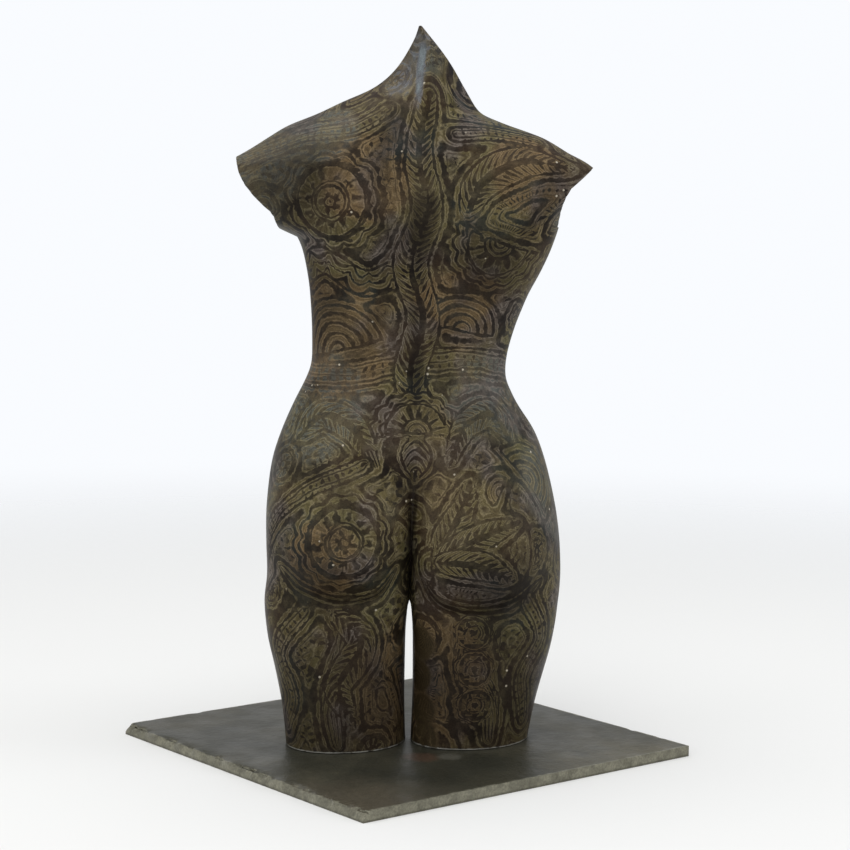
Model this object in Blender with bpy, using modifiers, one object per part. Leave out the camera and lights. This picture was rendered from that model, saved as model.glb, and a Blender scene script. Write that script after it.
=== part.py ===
"""A female torso, cut off at the neck, the upper arms and the middle of the thighs, on a thin square slab.

Metres, +Z up. The origin is the middle of the slab's underside. The figure faces -Y, so its back is on +Y,
and its own left side is on +X. The body is a loft: horizontal sections from the cut thighs to the tip of
the neck, each one worked out from the profile curves below. The softer forms are then raised on it, and
the two arms are cut off.
"""

import math

import bmesh
import bpy
import numpy as np
from mathutils import Vector

# The slab, a stock size of split slate
SLAB_SIDE = 0.300
SLAB_THICKNESS = 0.008
SLAB_TURN = math.radians(38.6)
SLAB_EDGE_WEAR = 0.0008
CONTACT_GAP = 0.0003

# Levels of the body, as heights above the slab's underside
SOLE = SLAB_THICKNESS + CONTACT_GAP
CROTCH = 0.112
BUTTOCK = 0.160
CLEFT_TOP = 0.226
WAIST = 0.284
RIBS = 0.325
BREAST = 0.362
APEX = 0.5286

# Each profile curve is a row of (height, reach) points that a smooth line runs through.
# The midline runs from between the thighs up the spine to the nape, with the bend of the pose.
MIDLINE = [(SOLE, -0.0035), (CROTCH, -0.0036), (CLEFT_TOP, -0.0062), (WAIST, -0.0064), (0.350, -0.0075),
           (0.410, -0.0098), (0.440, -0.0096), (0.465, -0.0084), (0.480, -0.0112), (0.498, -0.0150),
           (0.512, -0.0150), (0.520, -0.0110), (APEX, -0.0070)]

# The outline of the back seen square on: how far the left side and the right side reach.
LEFT_SIDE = [(SOLE, 0.0862), (0.035, 0.0892), (0.062, 0.0946), (0.092, 0.1014), (0.113, 0.1032),
             (0.134, 0.1012), (0.152, 0.1018), (0.175, 0.1022), (0.195, 0.1011), (0.215, 0.0986),
             (0.2355, 0.0924), (0.256, 0.0838), (0.2765, 0.0738), (0.287, 0.0704), (0.305, 0.0705),
             (0.338, 0.0722), (0.359, 0.0754), (0.374, 0.0793), (0.3782, 0.0818), (0.3797, 0.0842),
             (0.3812, 0.0878), (0.3825, 0.0925), (0.387, 0.1010), (0.392, 0.1090), (0.399, 0.1220),
             (0.408, 0.1350), (0.418, 0.1420), (0.428, 0.1380), (0.4345, 0.1273), (0.4405, 0.1166),
             (0.4495, 0.1027), (0.458, 0.0890), (0.467, 0.0669), (0.476, 0.0485), (0.485, 0.0278),
             (0.493, 0.0165), (0.502, 0.0080), (0.514, 0.0003), (0.522, -0.0039), (APEX, -0.0060)]
RIGHT_SIDE = [(SOLE, 0.0933), (0.035, 0.0985), (0.058, 0.1047), (0.079, 0.1104), (0.100, 0.1138),
              (0.130, 0.1161), (0.154, 0.1149), (0.175, 0.1123), (0.195, 0.1083), (0.216, 0.1028),
              (0.237, 0.0948), (0.247, 0.0883), (0.257, 0.0815), (0.268, 0.0760), (0.278, 0.0724),
              (0.288, 0.0729), (0.309, 0.0776), (0.330, 0.0851), (0.340, 0.0893), (0.351, 0.0952),
              (0.370, 0.1037), (0.385, 0.1086), (0.394, 0.1108), (0.400, 0.1180), (0.410, 0.1340),
              (0.419, 0.1390), (0.4265, 0.1362), (0.431, 0.1316), (0.435, 0.1258), (0.4386, 0.1176),
              (0.443, 0.1104), (0.447, 0.1040), (0.4514, 0.0960), (0.4556, 0.0841), (0.460, 0.0712),
              (0.464, 0.0609), (0.468, 0.0518), (0.4725, 0.0478), (0.481, 0.0427), (0.4895, 0.0375),
              (0.502, 0.0300), (0.510, 0.0241), (0.518, 0.0174), (0.5225, 0.0134), (APEX, 0.0081)]

# The side view: the line where each section is widest, and how far the back and the front reach.
WIDEST_LINE = [(SOLE, 0.012), (CROTCH, 0.006), (BUTTOCK, 0.008), (CLEFT_TOP, -0.002), (WAIST, -0.008),
               (0.350, -0.002), (0.400, 0.008), (0.440, 0.012), (0.462, 0.006), (0.485, 0.004),
               (0.507, 0.014), (APEX, 0.0275)]
BACK = [(SOLE, 0.054), (0.060, 0.0535), (0.100, 0.0540), (0.130, 0.0570), (BUTTOCK, 0.0610), (0.195, 0.0585),
        (CLEFT_TOP, 0.0505), (0.255, 0.0415), (WAIST, 0.0365), (RIBS, 0.0420), (0.362, 0.0505),
        (0.400, 0.0565), (0.425, 0.0560), (0.445, 0.0530), (0.460, 0.0488), (0.475, 0.0440),
        (0.490, 0.0390), (0.507, 0.0340), (APEX, 0.0305)]
FRONT = [(SOLE, -0.040), (0.060, -0.045), (CROTCH, -0.051), (0.150, -0.055), (0.190, -0.061),
         (CLEFT_TOP, -0.063), (0.258, -0.060), (WAIST, -0.056), (RIBS, -0.059), (BREAST, -0.061),
         (0.400, -0.056), (0.430, -0.044), (0.449, -0.030), (0.462, -0.016), (0.485, 0.002),
         (0.507, 0.0130), (APEX, 0.0270)]

# The pose: how much further back each section lies for every metre to the figure's left.
TURN = [(SOLE, 0.16), (BUTTOCK, 0.10), (WAIST, 0.02), (0.400, -0.06), (APEX, 0.0)]

# How much of the half depth is left on the midline: 1 is a plain oval, 0 is two separate thighs.
BACK_CLEFT = [(CROTCH, 0.05), (0.122, 0.08), (0.140, 0.18), (BUTTOCK, 0.36), (0.178, 0.54), (0.196, 0.72),
              (0.210, 0.84), (CLEFT_TOP, 0.95), (0.240, 0.992), (0.254, 1.0), (APEX, 1.0)]
FRONT_CLEFT = [(CROTCH, 0.05), (0.118, 0.12), (0.130, 0.50), (0.145, 0.84), (0.162, 0.98), (0.178, 1.0),
               (APEX, 1.0)]
THIGH_GAP = [(SOLE, 0.0030), (0.045, 0.0050), (0.085, 0.0046), (0.104, 0.0024), (CROTCH, 0.0004)]

# How square the sections are: 2 is an ellipse, more is squarer, less is more pointed.
BACK_SQUARENESS = [(SOLE, 2.1), (BUTTOCK, 2.2), (CLEFT_TOP, 2.3), (WAIST, 2.2), (0.350, 2.5), (0.400, 2.2),
                   (0.425, 1.9), (0.445, 1.6), (0.470, 1.35), (0.500, 1.15), (APEX, 1.15)]
FRONT_SQUARENESS = [(SOLE, 2.0), (BUTTOCK, 2.2), (CLEFT_TOP, 2.3), (WAIST, 2.2), (0.350, 2.4), (0.400, 2.0),
                    (0.425, 1.8), (0.445, 1.6), (0.470, 2.2), (APEX, 2.8)]

# The same for the side of each thigh and buttock that lies against the other one
INNER_SQUARENESS = [(SOLE, 2.1), (0.060, 2.4), (0.090, 3.0), (CROTCH, 3.8), (BUTTOCK, 3.8), (0.190, 3.4),
                    (CLEFT_TOP, 2.7), (0.254, 2.3), (APEX, 2.3)]

# The loft's fineness
QUARTER_STEPS = 12
BODY_SECTIONS = 78
THIGH_SECTIONS = 17
CLOSER_AROUND = ((0.112, 0.012, 1.6), (0.327, 0.012, 1.2))

# Soft forms raised on the loft: on the back (1) or the front (-1), on the left side (1), the right (-1) or
# both (0), how far beside the midline and how high the top of the form is, how wide it is to each side, above
# and below, how proud it stands, and how its rim falls away above and below (2 fades out softly, 1 ends in a
# fold).
FORMS = {
    "left_buttock": (1, 1, 0.046, 0.163, 0.054, 0.064, 0.045, 0.017, 2.0, 0.88),
    "right_buttock": (1, -1, 0.047, 0.156, 0.058, 0.066, 0.048, 0.017, 2.0, 0.88),
    "shoulder_blade": (1, 0, 0.050, 0.396, 0.038, 0.044, 0.046, 0.006, 1.6, 1.4),
    "loin": (1, 0, 0.022, 0.268, 0.020, 0.060, 0.050, 0.0025, 2.0, 2.0),
    "breast": (-1, 0, 0.043, 0.357, 0.044, 0.070, 0.034, 0.033, 1.9, 1.05),
    "belly": (-1, 0, 0.000, 0.222, 0.052, 0.040, 0.052, 0.005, 2.0, 1.6),
    "hip_bone": (-1, 0, 0.070, 0.238, 0.022, 0.026, 0.030, 0.004, 2.0, 2.0),
    "collarbone": (-1, 0, 0.045, 0.441, 0.050, 0.009, 0.012, 0.003, 1.4, 2.0),
}
BREAST_SPREAD = 0.22

# Furrows let into it: on the back or the front, from one (beside, height) point to another, half width, depth
FURROWS = {
    "spine": (1, (0.0, 0.232), (0.0, 0.440), 0.0085, 0.0045),
    "belly_line": (-1, (0.0, 0.285), (0.0, 0.400), 0.0080, 0.0025),
    "groin": (-1, (0.010, 0.124), (0.078, 0.208), 0.0090, 0.0040),
    "rib_arch": (-1, (0.016, 0.322), (0.062, 0.288), 0.0120, 0.0028),
}

# The lines of the two arm cuts, seen from behind, and how far each cut is turned to face forwards
LEFT_CUT = [(0.1262, 0.4320), (0.1238, 0.4250), (0.1190, 0.4160), (0.1125, 0.4075), (0.1041, 0.3992),
            (0.0998, 0.3957), (0.0977, 0.3925), (0.0965, 0.3870), (0.0961, 0.3838), (0.0958, 0.3815)]
LEFT_CUT_TURN = math.radians(-4)
RIGHT_CUT = [(-0.1322, 0.4290), (-0.1234, 0.4214), (-0.1153, 0.4145), (-0.1120, 0.4090), (-0.1099, 0.4035),
             (-0.1092, 0.3985), (-0.1090, 0.3930), (-0.1088, 0.3870)]
RIGHT_CUT_TURN = math.radians(3)
CUT_PIVOT = 0.035
CUTTER_REACH = 0.200


def smooth_line(points):
    """A function of height whose line runs smoothly through the points, without swinging past them."""
    z, r = np.array(points, float).T
    slope = np.diff(r) / np.diff(z)
    tangent = np.zeros_like(r)
    tangent[0], tangent[-1] = slope[0], slope[-1]
    for i in range(1, len(r) - 1):
        before, after = slope[i - 1], slope[i]
        if before * after > 0:
            tangent[i] = 2 * before * after / (before + after)

    def line(height):
        h = min(max(height, z[0]), z[-1])
        i = min(max(int(np.searchsorted(z, h)) - 1, 0), len(z) - 2)
        span = z[i + 1] - z[i]
        t = (h - z[i]) / span
        return float((1 + 2 * t) * (1 - t) ** 2 * r[i] + t * (1 - t) ** 2 * span * tangent[i]
                     + t ** 2 * (3 - 2 * t) * r[i + 1] - t ** 2 * (1 - t) * span * tangent[i + 1])

    return line


midline = smooth_line(MIDLINE)
left_side = smooth_line(LEFT_SIDE)
right_side = smooth_line(RIGHT_SIDE)
widest_line = smooth_line(WIDEST_LINE)
back_reach = smooth_line(BACK)
front_reach = smooth_line(FRONT)
turn = smooth_line(TURN)
back_cleft = smooth_line(BACK_CLEFT)
front_cleft = smooth_line(FRONT_CLEFT)
thigh_gap = smooth_line(THIGH_GAP)
back_squareness = smooth_line(BACK_SQUARENESS)
front_squareness = smooth_line(FRONT_SQUARENESS)
inner_squareness = smooth_line(INNER_SQUARENESS)


def quarter(width, depth, cleft, squareness, inner):
    """A quarter of a section, from the midline to the widest point, as (across, along the depth) offsets.

    It is part of a lobe that stands beside the midline. With a cleft of 1 the lobe's centre is on the
    midline and the quarter is a plain oval; with a cleft of 0 the lobe only touches the midline. The
    lobe's side towards the midline has a squareness of its own.
    """
    cleft = min(max(cleft, 0.0), 1.0)
    lobe = width / (1 + math.sqrt(1 - cleft ** 2))
    start = math.pi - math.asin(cleft)
    points = []
    for k in range(QUARTER_STEPS + 1):
        angle = start * (1 - k / QUARTER_STEPS)
        power = 2 / (squareness if angle < math.pi / 2 else inner)
        across = width - lobe + lobe * math.copysign(abs(math.cos(angle)) ** power, math.cos(angle))
        along = depth * max(0.0, math.sin(angle)) ** power
        points.append((across, along))
    middle = points[0][0]
    return [(width * (across - middle) / (width - middle), along) for across, along in points]


def half_section(height, side, is_thigh):
    """One side of a section, from the midline of the back round to the midline of the front."""
    middle = midline(height)
    gap = thigh_gap(height) / 2 if is_thigh else 0.0
    reach = left_side(height) - middle if side > 0 else right_side(height) + middle
    line = widest_line(height)
    inner = inner_squareness(height)
    back = quarter(reach - gap, back_reach(height) - line, 0.0 if is_thigh else back_cleft(height),
                   back_squareness(height), inner)
    front = quarter(reach - gap, line - front_reach(height), 0.0 if is_thigh else front_cleft(height),
                    front_squareness(height), inner)
    offsets = [(across, line + along) for across, along in back]
    offsets += [(across, line - along) for across, along in reversed(front[:-1])]
    lean = turn(height)
    return [Vector((middle + side * (gap + across), y + lean * side * (gap + across), height))
            for across, y in offsets]


def section_heights(low, high, count):
    """Heights that lie closer together where the outline runs flatter, as on the shoulders, and at a fold."""
    fine = np.linspace(low, high, 600)
    outline = np.array([(left_side(z) + right_side(z), back_reach(z) - front_reach(z), z) for z in fine])
    step = np.linalg.norm(np.diff(outline, axis=0) * (0.5, 0.5, 1.0), axis=1)
    for fold, spread, extra in CLOSER_AROUND:
        step = step * (1 + extra * np.exp(-((fine[1:] - fold) / spread) ** 2))
    run = np.concatenate([[0], np.cumsum(step)])
    return [float(z) for z in np.interp(np.linspace(0, run[-1], count), run, fine)]


def loft_torso():
    """The closed loft: one stack of sections for the body, and one for each thigh."""
    mesh = bmesh.new()
    body_heights = section_heights(CROTCH, APEX, BODY_SECTIONS)
    thigh_heights = section_heights(SOLE, CROTCH - 0.0025, THIGH_SECTIONS)[::-1]
    spine, belly, last = [], [], {}
    for z in body_heights:
        ring = half_section(z, 1, False)
        spine.append(mesh.verts.new(ring[0]))
        belly.append(mesh.verts.new(ring[-1]))
    for side in (1, -1):
        rings = []
        for i, z in enumerate(body_heights):
            inner = [mesh.verts.new(p) for p in half_section(z, side, False)[1:-1]]
            rings.append([spine[i], *inner, belly[i]])
        for lower, upper in zip(rings, rings[1:]):
            skin(mesh, lower, upper, side)
        last[side] = rings[-1]
        thigh = []
        for z in thigh_heights:
            ring = [mesh.verts.new(p) for p in half_section(z, side, True)[:-1]]
            thigh.append([*ring, ring[0]])
        skin(mesh, thigh[0], rings[0], side)
        close(mesh, [rings[0][0], rings[0][-1], thigh[0][0]], -side)
        for upper, lower in zip(thigh, thigh[1:]):
            skin(mesh, lower, upper, side)
        close(mesh, thigh[-1][:-1], side)
    mesh.faces.new([*last[1], *reversed(last[-1][1:-1])])
    bmesh.ops.recalc_face_normals(mesh, faces=mesh.faces)
    return mesh


def skin(mesh, lower, upper, side):
    """A band of quads between two sections."""
    for k in range(len(lower) - 1):
        close(mesh, [lower[k], lower[k + 1], upper[k + 1], upper[k]], side)


def close(mesh, corners, side):
    """One face, turned over on the right side, where the sections run the other way round."""
    mesh.faces.new(corners[::-side])


def soft_step(low, high, value):
    t = min(max((value - low) / (high - low), 0.0), 1.0)
    return t * t * (3 - 2 * t)


def form_height(form, beside, height):
    """How far a soft form stands out at a point of the body."""
    across, level, wide, above, below, proud, rim_above, rim_below = form[2:]
    rise = (height - level) / (above if height > level else below)
    away = (beside - across) / wide
    squared = rise ** 2 + away ** 2
    if squared >= 1:
        return 0.0
    upward = 0.5 + 0.5 * rise / math.sqrt(squared) if squared > 1e-9 else 0.5
    return proud * (1 - squared) ** (rim_below + (rim_above - rim_below) * upward)


def furrow_depth(furrow, beside, height):
    """How deep a furrow is at a point of the body."""
    _, start, end, half_width, depth = furrow
    along = Vector(end) - Vector(start)
    place = Vector((beside, height)) - Vector(start)
    t = min(max(place.dot(along) / along.length_squared, 0.0), 1.0)
    off = (place - along * t).length / half_width
    fade = soft_step(0.0, 0.25, t) * soft_step(0.0, 0.25, 1 - t)
    return depth * math.exp(-off * off) * fade


def model_forms(mesh):
    """Raises the soft forms and lets in the furrows, straight backwards or forwards."""
    for vert in mesh.verts:
        x, y, z = vert.co
        middle = midline(z)
        side = 1 if x >= middle else -1
        beside = abs(x - middle)
        reach = left_side(z) - middle if side > 0 else right_side(z) + middle
        facing = 1 if y - turn(z) * x > widest_line(z) else -1
        fade = 1 - soft_step(0.80, 1.0, beside / reach)
        for name, form in FORMS.items():
            if form[0] != facing or form[1] * side < 0:
                continue
            rise = form_height(form, beside, z) * fade
            vert.co.y += facing * rise
            if name == "breast":
                vert.co.x += side * rise * BREAST_SPREAD
        for furrow in FURROWS.values():
            if furrow[0] == facing:
                vert.co.y -= facing * furrow_depth(furrow, beside, z) * fade


def new_object(name, mesh, collection, material=None):
    data = bpy.data.meshes.new(name)
    mesh.to_mesh(data)
    mesh.free()
    obj = bpy.data.objects.new(name, data)
    collection.objects.link(obj)
    if material:
        data.materials.append(material)
    return obj


def as_cutter(obj, target):
    obj.hide_render = True
    obj.display_type = "WIRE"
    cut = target.modifiers.new(obj.name, "BOOLEAN")
    cut.operation = "DIFFERENCE"
    cut.solver = "EXACT"
    cut.object = obj


def arm_cutter(name, line, turned, collection):
    """A bar that runs from the front to the back, with the line of the cut as its inner side."""
    line = [Vector(point) for point in line]
    top, foot = line[0], line[-1]
    far = math.copysign(CUTTER_REACH, top.x)
    beyond = top + (top - line[1]).normalized() * 0.04
    profile = [*line, Vector((far, foot.y - 0.02)), Vector((far, beyond.y)), beyond]
    mesh = bmesh.new()
    front = -0.75 * CUTTER_REACH
    ring = [mesh.verts.new((p.x - top.x, front, p.y - top.y)) for p in profile]
    pushed = bmesh.ops.extrude_face_region(mesh, geom=[mesh.faces.new(ring)])
    moved = [item for item in pushed["geom"] if isinstance(item, bmesh.types.BMVert)]
    bmesh.ops.translate(mesh, vec=(0, CUTTER_REACH, 0), verts=moved)
    bmesh.ops.recalc_face_normals(mesh, faces=mesh.faces)
    cutter = new_object(name, mesh, collection)
    cutter.location = (top.x, CUT_PIVOT, top.y)
    cutter.rotation_euler = (0.0, 0.0, turned)
    return cutter


def plain_material(name, colour, roughness):
    made = bpy.data.materials.new(name)
    made.use_nodes = True
    shader = made.node_tree.nodes["Principled BSDF"]
    shader.inputs["Base Color"].default_value = (*colour, 1.0)
    shader.inputs["Roughness"].default_value = roughness
    shader.inputs["Metallic"].default_value = 0.0
    return made


def make_torso(parts, cutters):
    mesh = loft_torso()
    model_forms(mesh)
    finish = plain_material("dark_patinated_body", (0.075, 0.062, 0.043), 0.45)
    torso = new_object("torso", mesh, parts, finish)
    as_cutter(arm_cutter("left_arm_cutter", LEFT_CUT, LEFT_CUT_TURN, cutters), torso)
    as_cutter(arm_cutter("right_arm_cutter", RIGHT_CUT, RIGHT_CUT_TURN, cutters), torso)
    torso.data.shade_smooth()
    torso.data.set_sharp_from_angle(angle=math.radians(40))


def make_slab(parts):
    mesh = bmesh.new()
    bmesh.ops.create_cube(mesh, size=1.0)
    bmesh.ops.scale(mesh, vec=(SLAB_SIDE, SLAB_SIDE, SLAB_THICKNESS), verts=mesh.verts)
    slab = new_object("base_slab", mesh, parts, plain_material("slate", (0.085, 0.090, 0.078), 0.65))
    slab.location = (0.0, 0.0, SLAB_THICKNESS / 2)
    slab.rotation_euler = (0.0, 0.0, SLAB_TURN)
    wear = slab.modifiers.new("edge_wear", "BEVEL")
    wear.width = SLAB_EDGE_WEAR
    wear.segments = 2


def main():
    for obj in list(bpy.data.objects):
        bpy.data.objects.remove(obj)
    parts = bpy.data.collections.new("torso_on_slab")
    cutters = bpy.data.collections.new("cutters")
    for collection in (parts, cutters):
        bpy.context.scene.collection.children.link(collection)
    make_torso(parts, cutters)
    make_slab(parts)


main()
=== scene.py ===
# %% [markdown]
# # A painted torso on a slate slab
#
# The piece is a female torso about half a metre high, seen from behind. The neck ends in a
# sharp point, one upper arm is a short stump and the other is cut away. The body is satin,
# dark olive brown, and covered all over with freehand brush ornament. It stands on a thin
# square slab of split slate. The solids of the frame already have the form, so this lesson
# makes a soft skin over the body, paints it, and gives the slab its riven face.

# %% Load the frame
import math

import bpy
import numpy as np
from mathutils import Matrix, Vector, noise
from mathutils.bvhtree import BVHTree


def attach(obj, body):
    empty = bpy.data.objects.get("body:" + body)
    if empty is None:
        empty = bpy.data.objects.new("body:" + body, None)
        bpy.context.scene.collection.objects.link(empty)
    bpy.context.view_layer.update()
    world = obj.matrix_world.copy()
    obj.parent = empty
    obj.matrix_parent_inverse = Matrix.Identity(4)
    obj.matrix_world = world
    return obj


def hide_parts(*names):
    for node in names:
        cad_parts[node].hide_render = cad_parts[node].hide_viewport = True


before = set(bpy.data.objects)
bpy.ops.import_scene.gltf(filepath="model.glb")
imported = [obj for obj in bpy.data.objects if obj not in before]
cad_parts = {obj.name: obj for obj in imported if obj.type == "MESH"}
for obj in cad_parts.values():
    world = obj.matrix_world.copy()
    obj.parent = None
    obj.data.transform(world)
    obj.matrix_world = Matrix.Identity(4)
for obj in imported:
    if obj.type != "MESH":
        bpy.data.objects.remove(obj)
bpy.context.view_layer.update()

# %% [markdown]
# ## A soft skin for the body
#
# The real body was modelled by hand and rubbed smooth, and only the cuts at the neck and the
# arms have rims. The solid under it is made of flat facets. It could be smoothed by shading
# alone, but the outline would stay a polygon. So a copy of it is merged at its corners, its
# triangles are paired into quads, and two levels of subdivision turn them into one soft
# surface. The rims are creased first, because subdivision would melt them away.

# %% Helpers for modelling
MERGE_WITHIN = 0.00002


def only(piece):
    """Makes this piece the only one that is selected, and the active one."""
    bpy.ops.object.select_all(action="DESELECT")
    piece.select_set(True)
    bpy.context.view_layer.objects.active = piece
    return piece


def copy_of_solid(node, name):
    """A copy of a solid's mesh as a new object, merged at its corners."""
    piece = bpy.data.objects.new(name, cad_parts[node].data.copy())
    piece.data.name = name
    piece.data.materials.clear()
    bpy.context.scene.collection.objects.link(piece)
    only(piece)
    bpy.ops.object.mode_set(mode="EDIT")
    bpy.ops.mesh.select_all(action="SELECT")
    bpy.ops.mesh.remove_doubles(threshold=MERGE_WITHIN)
    bpy.ops.object.mode_set(mode="OBJECT")
    return piece


def apply_modifier(piece, kind, **values):
    """Adds a modifier with these values and applies it at once."""
    only(piece)
    made = piece.modifiers.new(kind.lower(), kind)
    for key, value in values.items():
        setattr(made, key, value)
    bpy.ops.object.modifier_apply(modifier=made.name)


def read_places(mesh):
    """The places of a mesh's vertices as an array with one row for each."""
    places = np.empty(len(mesh.vertices) * 3, np.float32)
    mesh.vertices.foreach_get("co", places)
    return places.reshape(-1, 3).astype(float)


# %% [markdown]
# The rims are found by angle: an edge where two faces meet more sharply than anywhere on the
# soft body is a rim. A crease just under 1 leaves it a hair's breadth round, like the rubbed
# edge of the real piece. Shading each face flat would show the facets, so the skin is shaded
# smooth at the end.

# %% The torso's skin
RIM_ANGLE = math.radians(38)
RIM_CREASE = 0.92
FLATTEST_PAIR = math.radians(50)
SQUAREST_PAIR = math.radians(70)
SKIN_LEVELS = 2

torso = copy_of_solid("torso", "torso_skin")
bpy.ops.object.mode_set(mode="EDIT")
bpy.ops.mesh.select_all(action="SELECT")
bpy.ops.mesh.tris_convert_to_quads(face_threshold=FLATTEST_PAIR, shape_threshold=SQUAREST_PAIR)
bpy.ops.mesh.select_all(action="DESELECT")
bpy.ops.mesh.edges_select_sharp(sharpness=RIM_ANGLE)
bpy.ops.transform.edge_crease(value=RIM_CREASE)
bpy.ops.object.mode_set(mode="OBJECT")
apply_modifier(torso, "SUBSURF", levels=SKIN_LEVELS, render_levels=SKIN_LEVELS)
only(torso)
bpy.ops.object.shade_smooth()
print("skin:", len(torso.data.vertices), "vertices,", len(torso.data.polygons), "faces")

# %% [markdown]
# ## Places on the skin
#
# The painter works on the finished body, so each motif is placed on the skin and not in the
# air. A ray from behind, from the front or from all round finds the skin below a chosen
# place, the way a finger would. The skin's vertices, their normals and the side that each
# one is on are kept as arrays, because every motif is worked out for all of them at once.

# %% Arrays of the skin
CLEFT_X = -0.0045
CLEFT_TOP = 0.204
CROTCH = 0.112

skin = torso.data
place = read_places(skin)
facing = np.empty(len(skin.vertices) * 3, np.float32)
skin.vertex_normals.foreach_get("vector", facing)
facing = facing.reshape(-1, 3).astype(float)
face_corners = np.empty(len(skin.loops), np.int32)
skin.loops.foreach_get("vertex_index", face_corners)
faces = face_corners.reshape(-1, 4)

print("faces with four corners:", len(faces) == len(skin.polygons))

# %% [markdown]
# Nobody draws a perfect circle by hand. The motifs are worked out on a second set of places,
# where each vertex has strayed a little, in slow bends and small shakes. The noise that moves
# them starts from a fixed seed, so the painting comes out the same each time. The buttocks and
# the thighs are close to each other but far apart along the skin, so each vertex also knows
# its side, and no motif jumps across.

# %% An unsteady hand, and the two sides
# how far the hand strays, and how often it turns in a metre
UNSTEADY = ((0.0038, 15.0), (0.0007, 60.0))
HAND_SEED = 5

noise.seed_set(HAND_SEED)
drawn = place.copy()
for stray, scale in UNSTEADY:
    drawn += stray * np.array([noise.noise_vector(Vector(p) * scale) for p in place])
split = (place[:, 2] < CROTCH) | ((place[:, 2] < CLEFT_TOP) & (place[:, 1] > 0.0))
side = np.where(split, np.sign(place[:, 0] - CLEFT_X), 0.0)
print("farthest stray:", round(float(np.abs(drawn - place).max()), 4), "m")
print("vertices with a side:", int(split.sum()))

# %% [markdown]
# A ray that starts well outside and runs towards the body finds the skin where it first meets
# it. A search tree of the faces answers thousands of such questions at once. To go all round
# the body, the ray runs towards an upright axis inside it, and the place is given by an angle
# and a height.

# %% Rays that find the skin
FAR = 0.6
BODY_AXIS = np.array([-0.006, -0.005, 0.0])

skin_tree = BVHTree.FromObject(torso, bpy.context.evaluated_depsgraph_get())


def find_skin(start, direction):
    """Where a ray first meets the skin and the normal there, or the nearest skin if it misses."""
    start, direction = Vector(start), Vector(direction)
    hit, normal, _, _ = skin_tree.ray_cast(start, direction)
    if hit is None:
        hit, normal, _, _ = skin_tree.find_nearest(start + direction * FAR)
    return np.array(hit), np.array(normal)


def on_back(x, z):
    return find_skin((x, FAR, z), (0, -1, 0))


def on_front(x, z):
    return find_skin((x, -FAR, z), (0, 1, 0))


def around(degrees, z):
    """A place at this height. 0 degrees is the spine and 90 is the flank under the stump."""
    turn = math.radians(degrees)
    out = np.array([math.sin(turn), math.cos(turn), 0.0])
    start = BODY_AXIS + out * FAR
    return find_skin((start[0], start[1], z), -out)


# %% [markdown]
# ## How the ornament is stored
#
# Thin painted lines are far finer than the mesh. An image could hold them, and so could more
# vertices, but both would be heavy. Instead each motif gives every vertex three smooth
# numbers: which row of strokes it lies in, how far along that row, and how far it is from the
# motif's edge. The material draws a stroke wherever the row is near a whole number, so its
# edges stay crisp at any distance. The numbers belong to face corners, so that two motifs may
# meet inside one face: each face keeps the motif on top and the one just under it.

# %% The list of motifs
TAU = 2 * math.pi
MARGIN = 0.0022
motifs = []


def add_motif(edge, row, along, brush, tone, allowed, run, row_turn=0, along_turn=0, echo=True):
    """Keeps a motif. Its turns say after how many rows or steps it closes on itself."""
    motifs.append(
        dict(edge=edge, row=row, along=along, brush=brush, tone=tone, allowed=allowed, run=run,
             row_turn=row_turn, along_turn=along_turn, echo=echo)
    )


def arch(value):
    """Rises from 0 to 1 and falls back once in each whole step, with a cusp between."""
    return np.abs(np.sin(math.pi * value))


def same_side(spot):
    """Vertices that a motif at this spot can reach without jumping a cleft or the leg gap."""
    x, y, z = spot
    cleft = z < CROTCH or (z < CLEFT_TOP and y > 0.0)
    own = math.copysign(1.0, x - CLEFT_X) if cleft else 0.0
    return (side == 0) | (side == own) if own else np.ones(len(place), bool)


# %% [markdown]
# ## Two kinds of motif
#
# Round motifs are drawn about a centre: rings, petals and spokes. Bands follow a line over
# the skin: rows beside the line, or barbs that slant away from it. Everything painted on the
# body is one of these two, with other numbers.

# %% Round motifs
NORMAL_LIMIT = 0.05


def polar(spot, turn=0.0):
    """Distance and angle of each vertex about a spot, with angle 0 straight up the body."""
    centre, normal = spot
    up = np.array([0.0, 0.0, 1.0]) - normal * normal[2]
    up /= np.linalg.norm(up)
    across = np.cross(normal, up)
    reach = drawn - centre
    angle = np.arctan2(reach @ across, reach @ up) + turn
    return np.linalg.norm(reach, axis=1), angle, reach @ (up * math.cos(turn) - across * math.sin(turn))


def near_spot(spot):
    return same_side(spot[0]) & (facing @ spot[1] > NORMAL_LIMIT)


def rings(spot, radius, count, petals, scallop, brush, tone=0.0, turn=0.0, half=False, echo=True):
    """Rings about a spot. With scallop over 0 each ring bulges once for every petal."""
    distance, angle, up = polar(spot, turn)
    along = angle * petals / TAU
    lobe = 1 - scallop + scallop * arch(along)
    edge = distance - radius * lobe
    if half:
        edge = np.maximum(edge, -up)
    add_motif(edge, distance / (radius * lobe) * count, along, brush, tone, near_spot(spot),
              angle * radius, along_turn=petals, echo=echo)


def spokes(spot, radius, count, brush, tone=0.0, turn=0.0, half=False, echo=True, twist=0.0):
    """Petals about a spot, each one stroke that swells on its way out and curls with its twist."""
    distance, angle, up = polar(spot, turn)
    edge = distance - radius
    if half:
        edge = np.maximum(edge, -up)
    row = angle * count / TAU + twist * distance / radius
    add_motif(edge, row, distance / radius - 0.55, brush, tone, near_spot(spot),
              angle * radius, row_turn=count, echo=echo)


# %% [markdown]
# A band needs a line that lies on the skin. Its route is a few places, and a curve runs
# smoothly through all of them. Each step of the curve is laid on the skin by a ray. Every
# vertex then looks for the nearest step, which gives its distance beside the line and its
# place along it.

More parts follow.
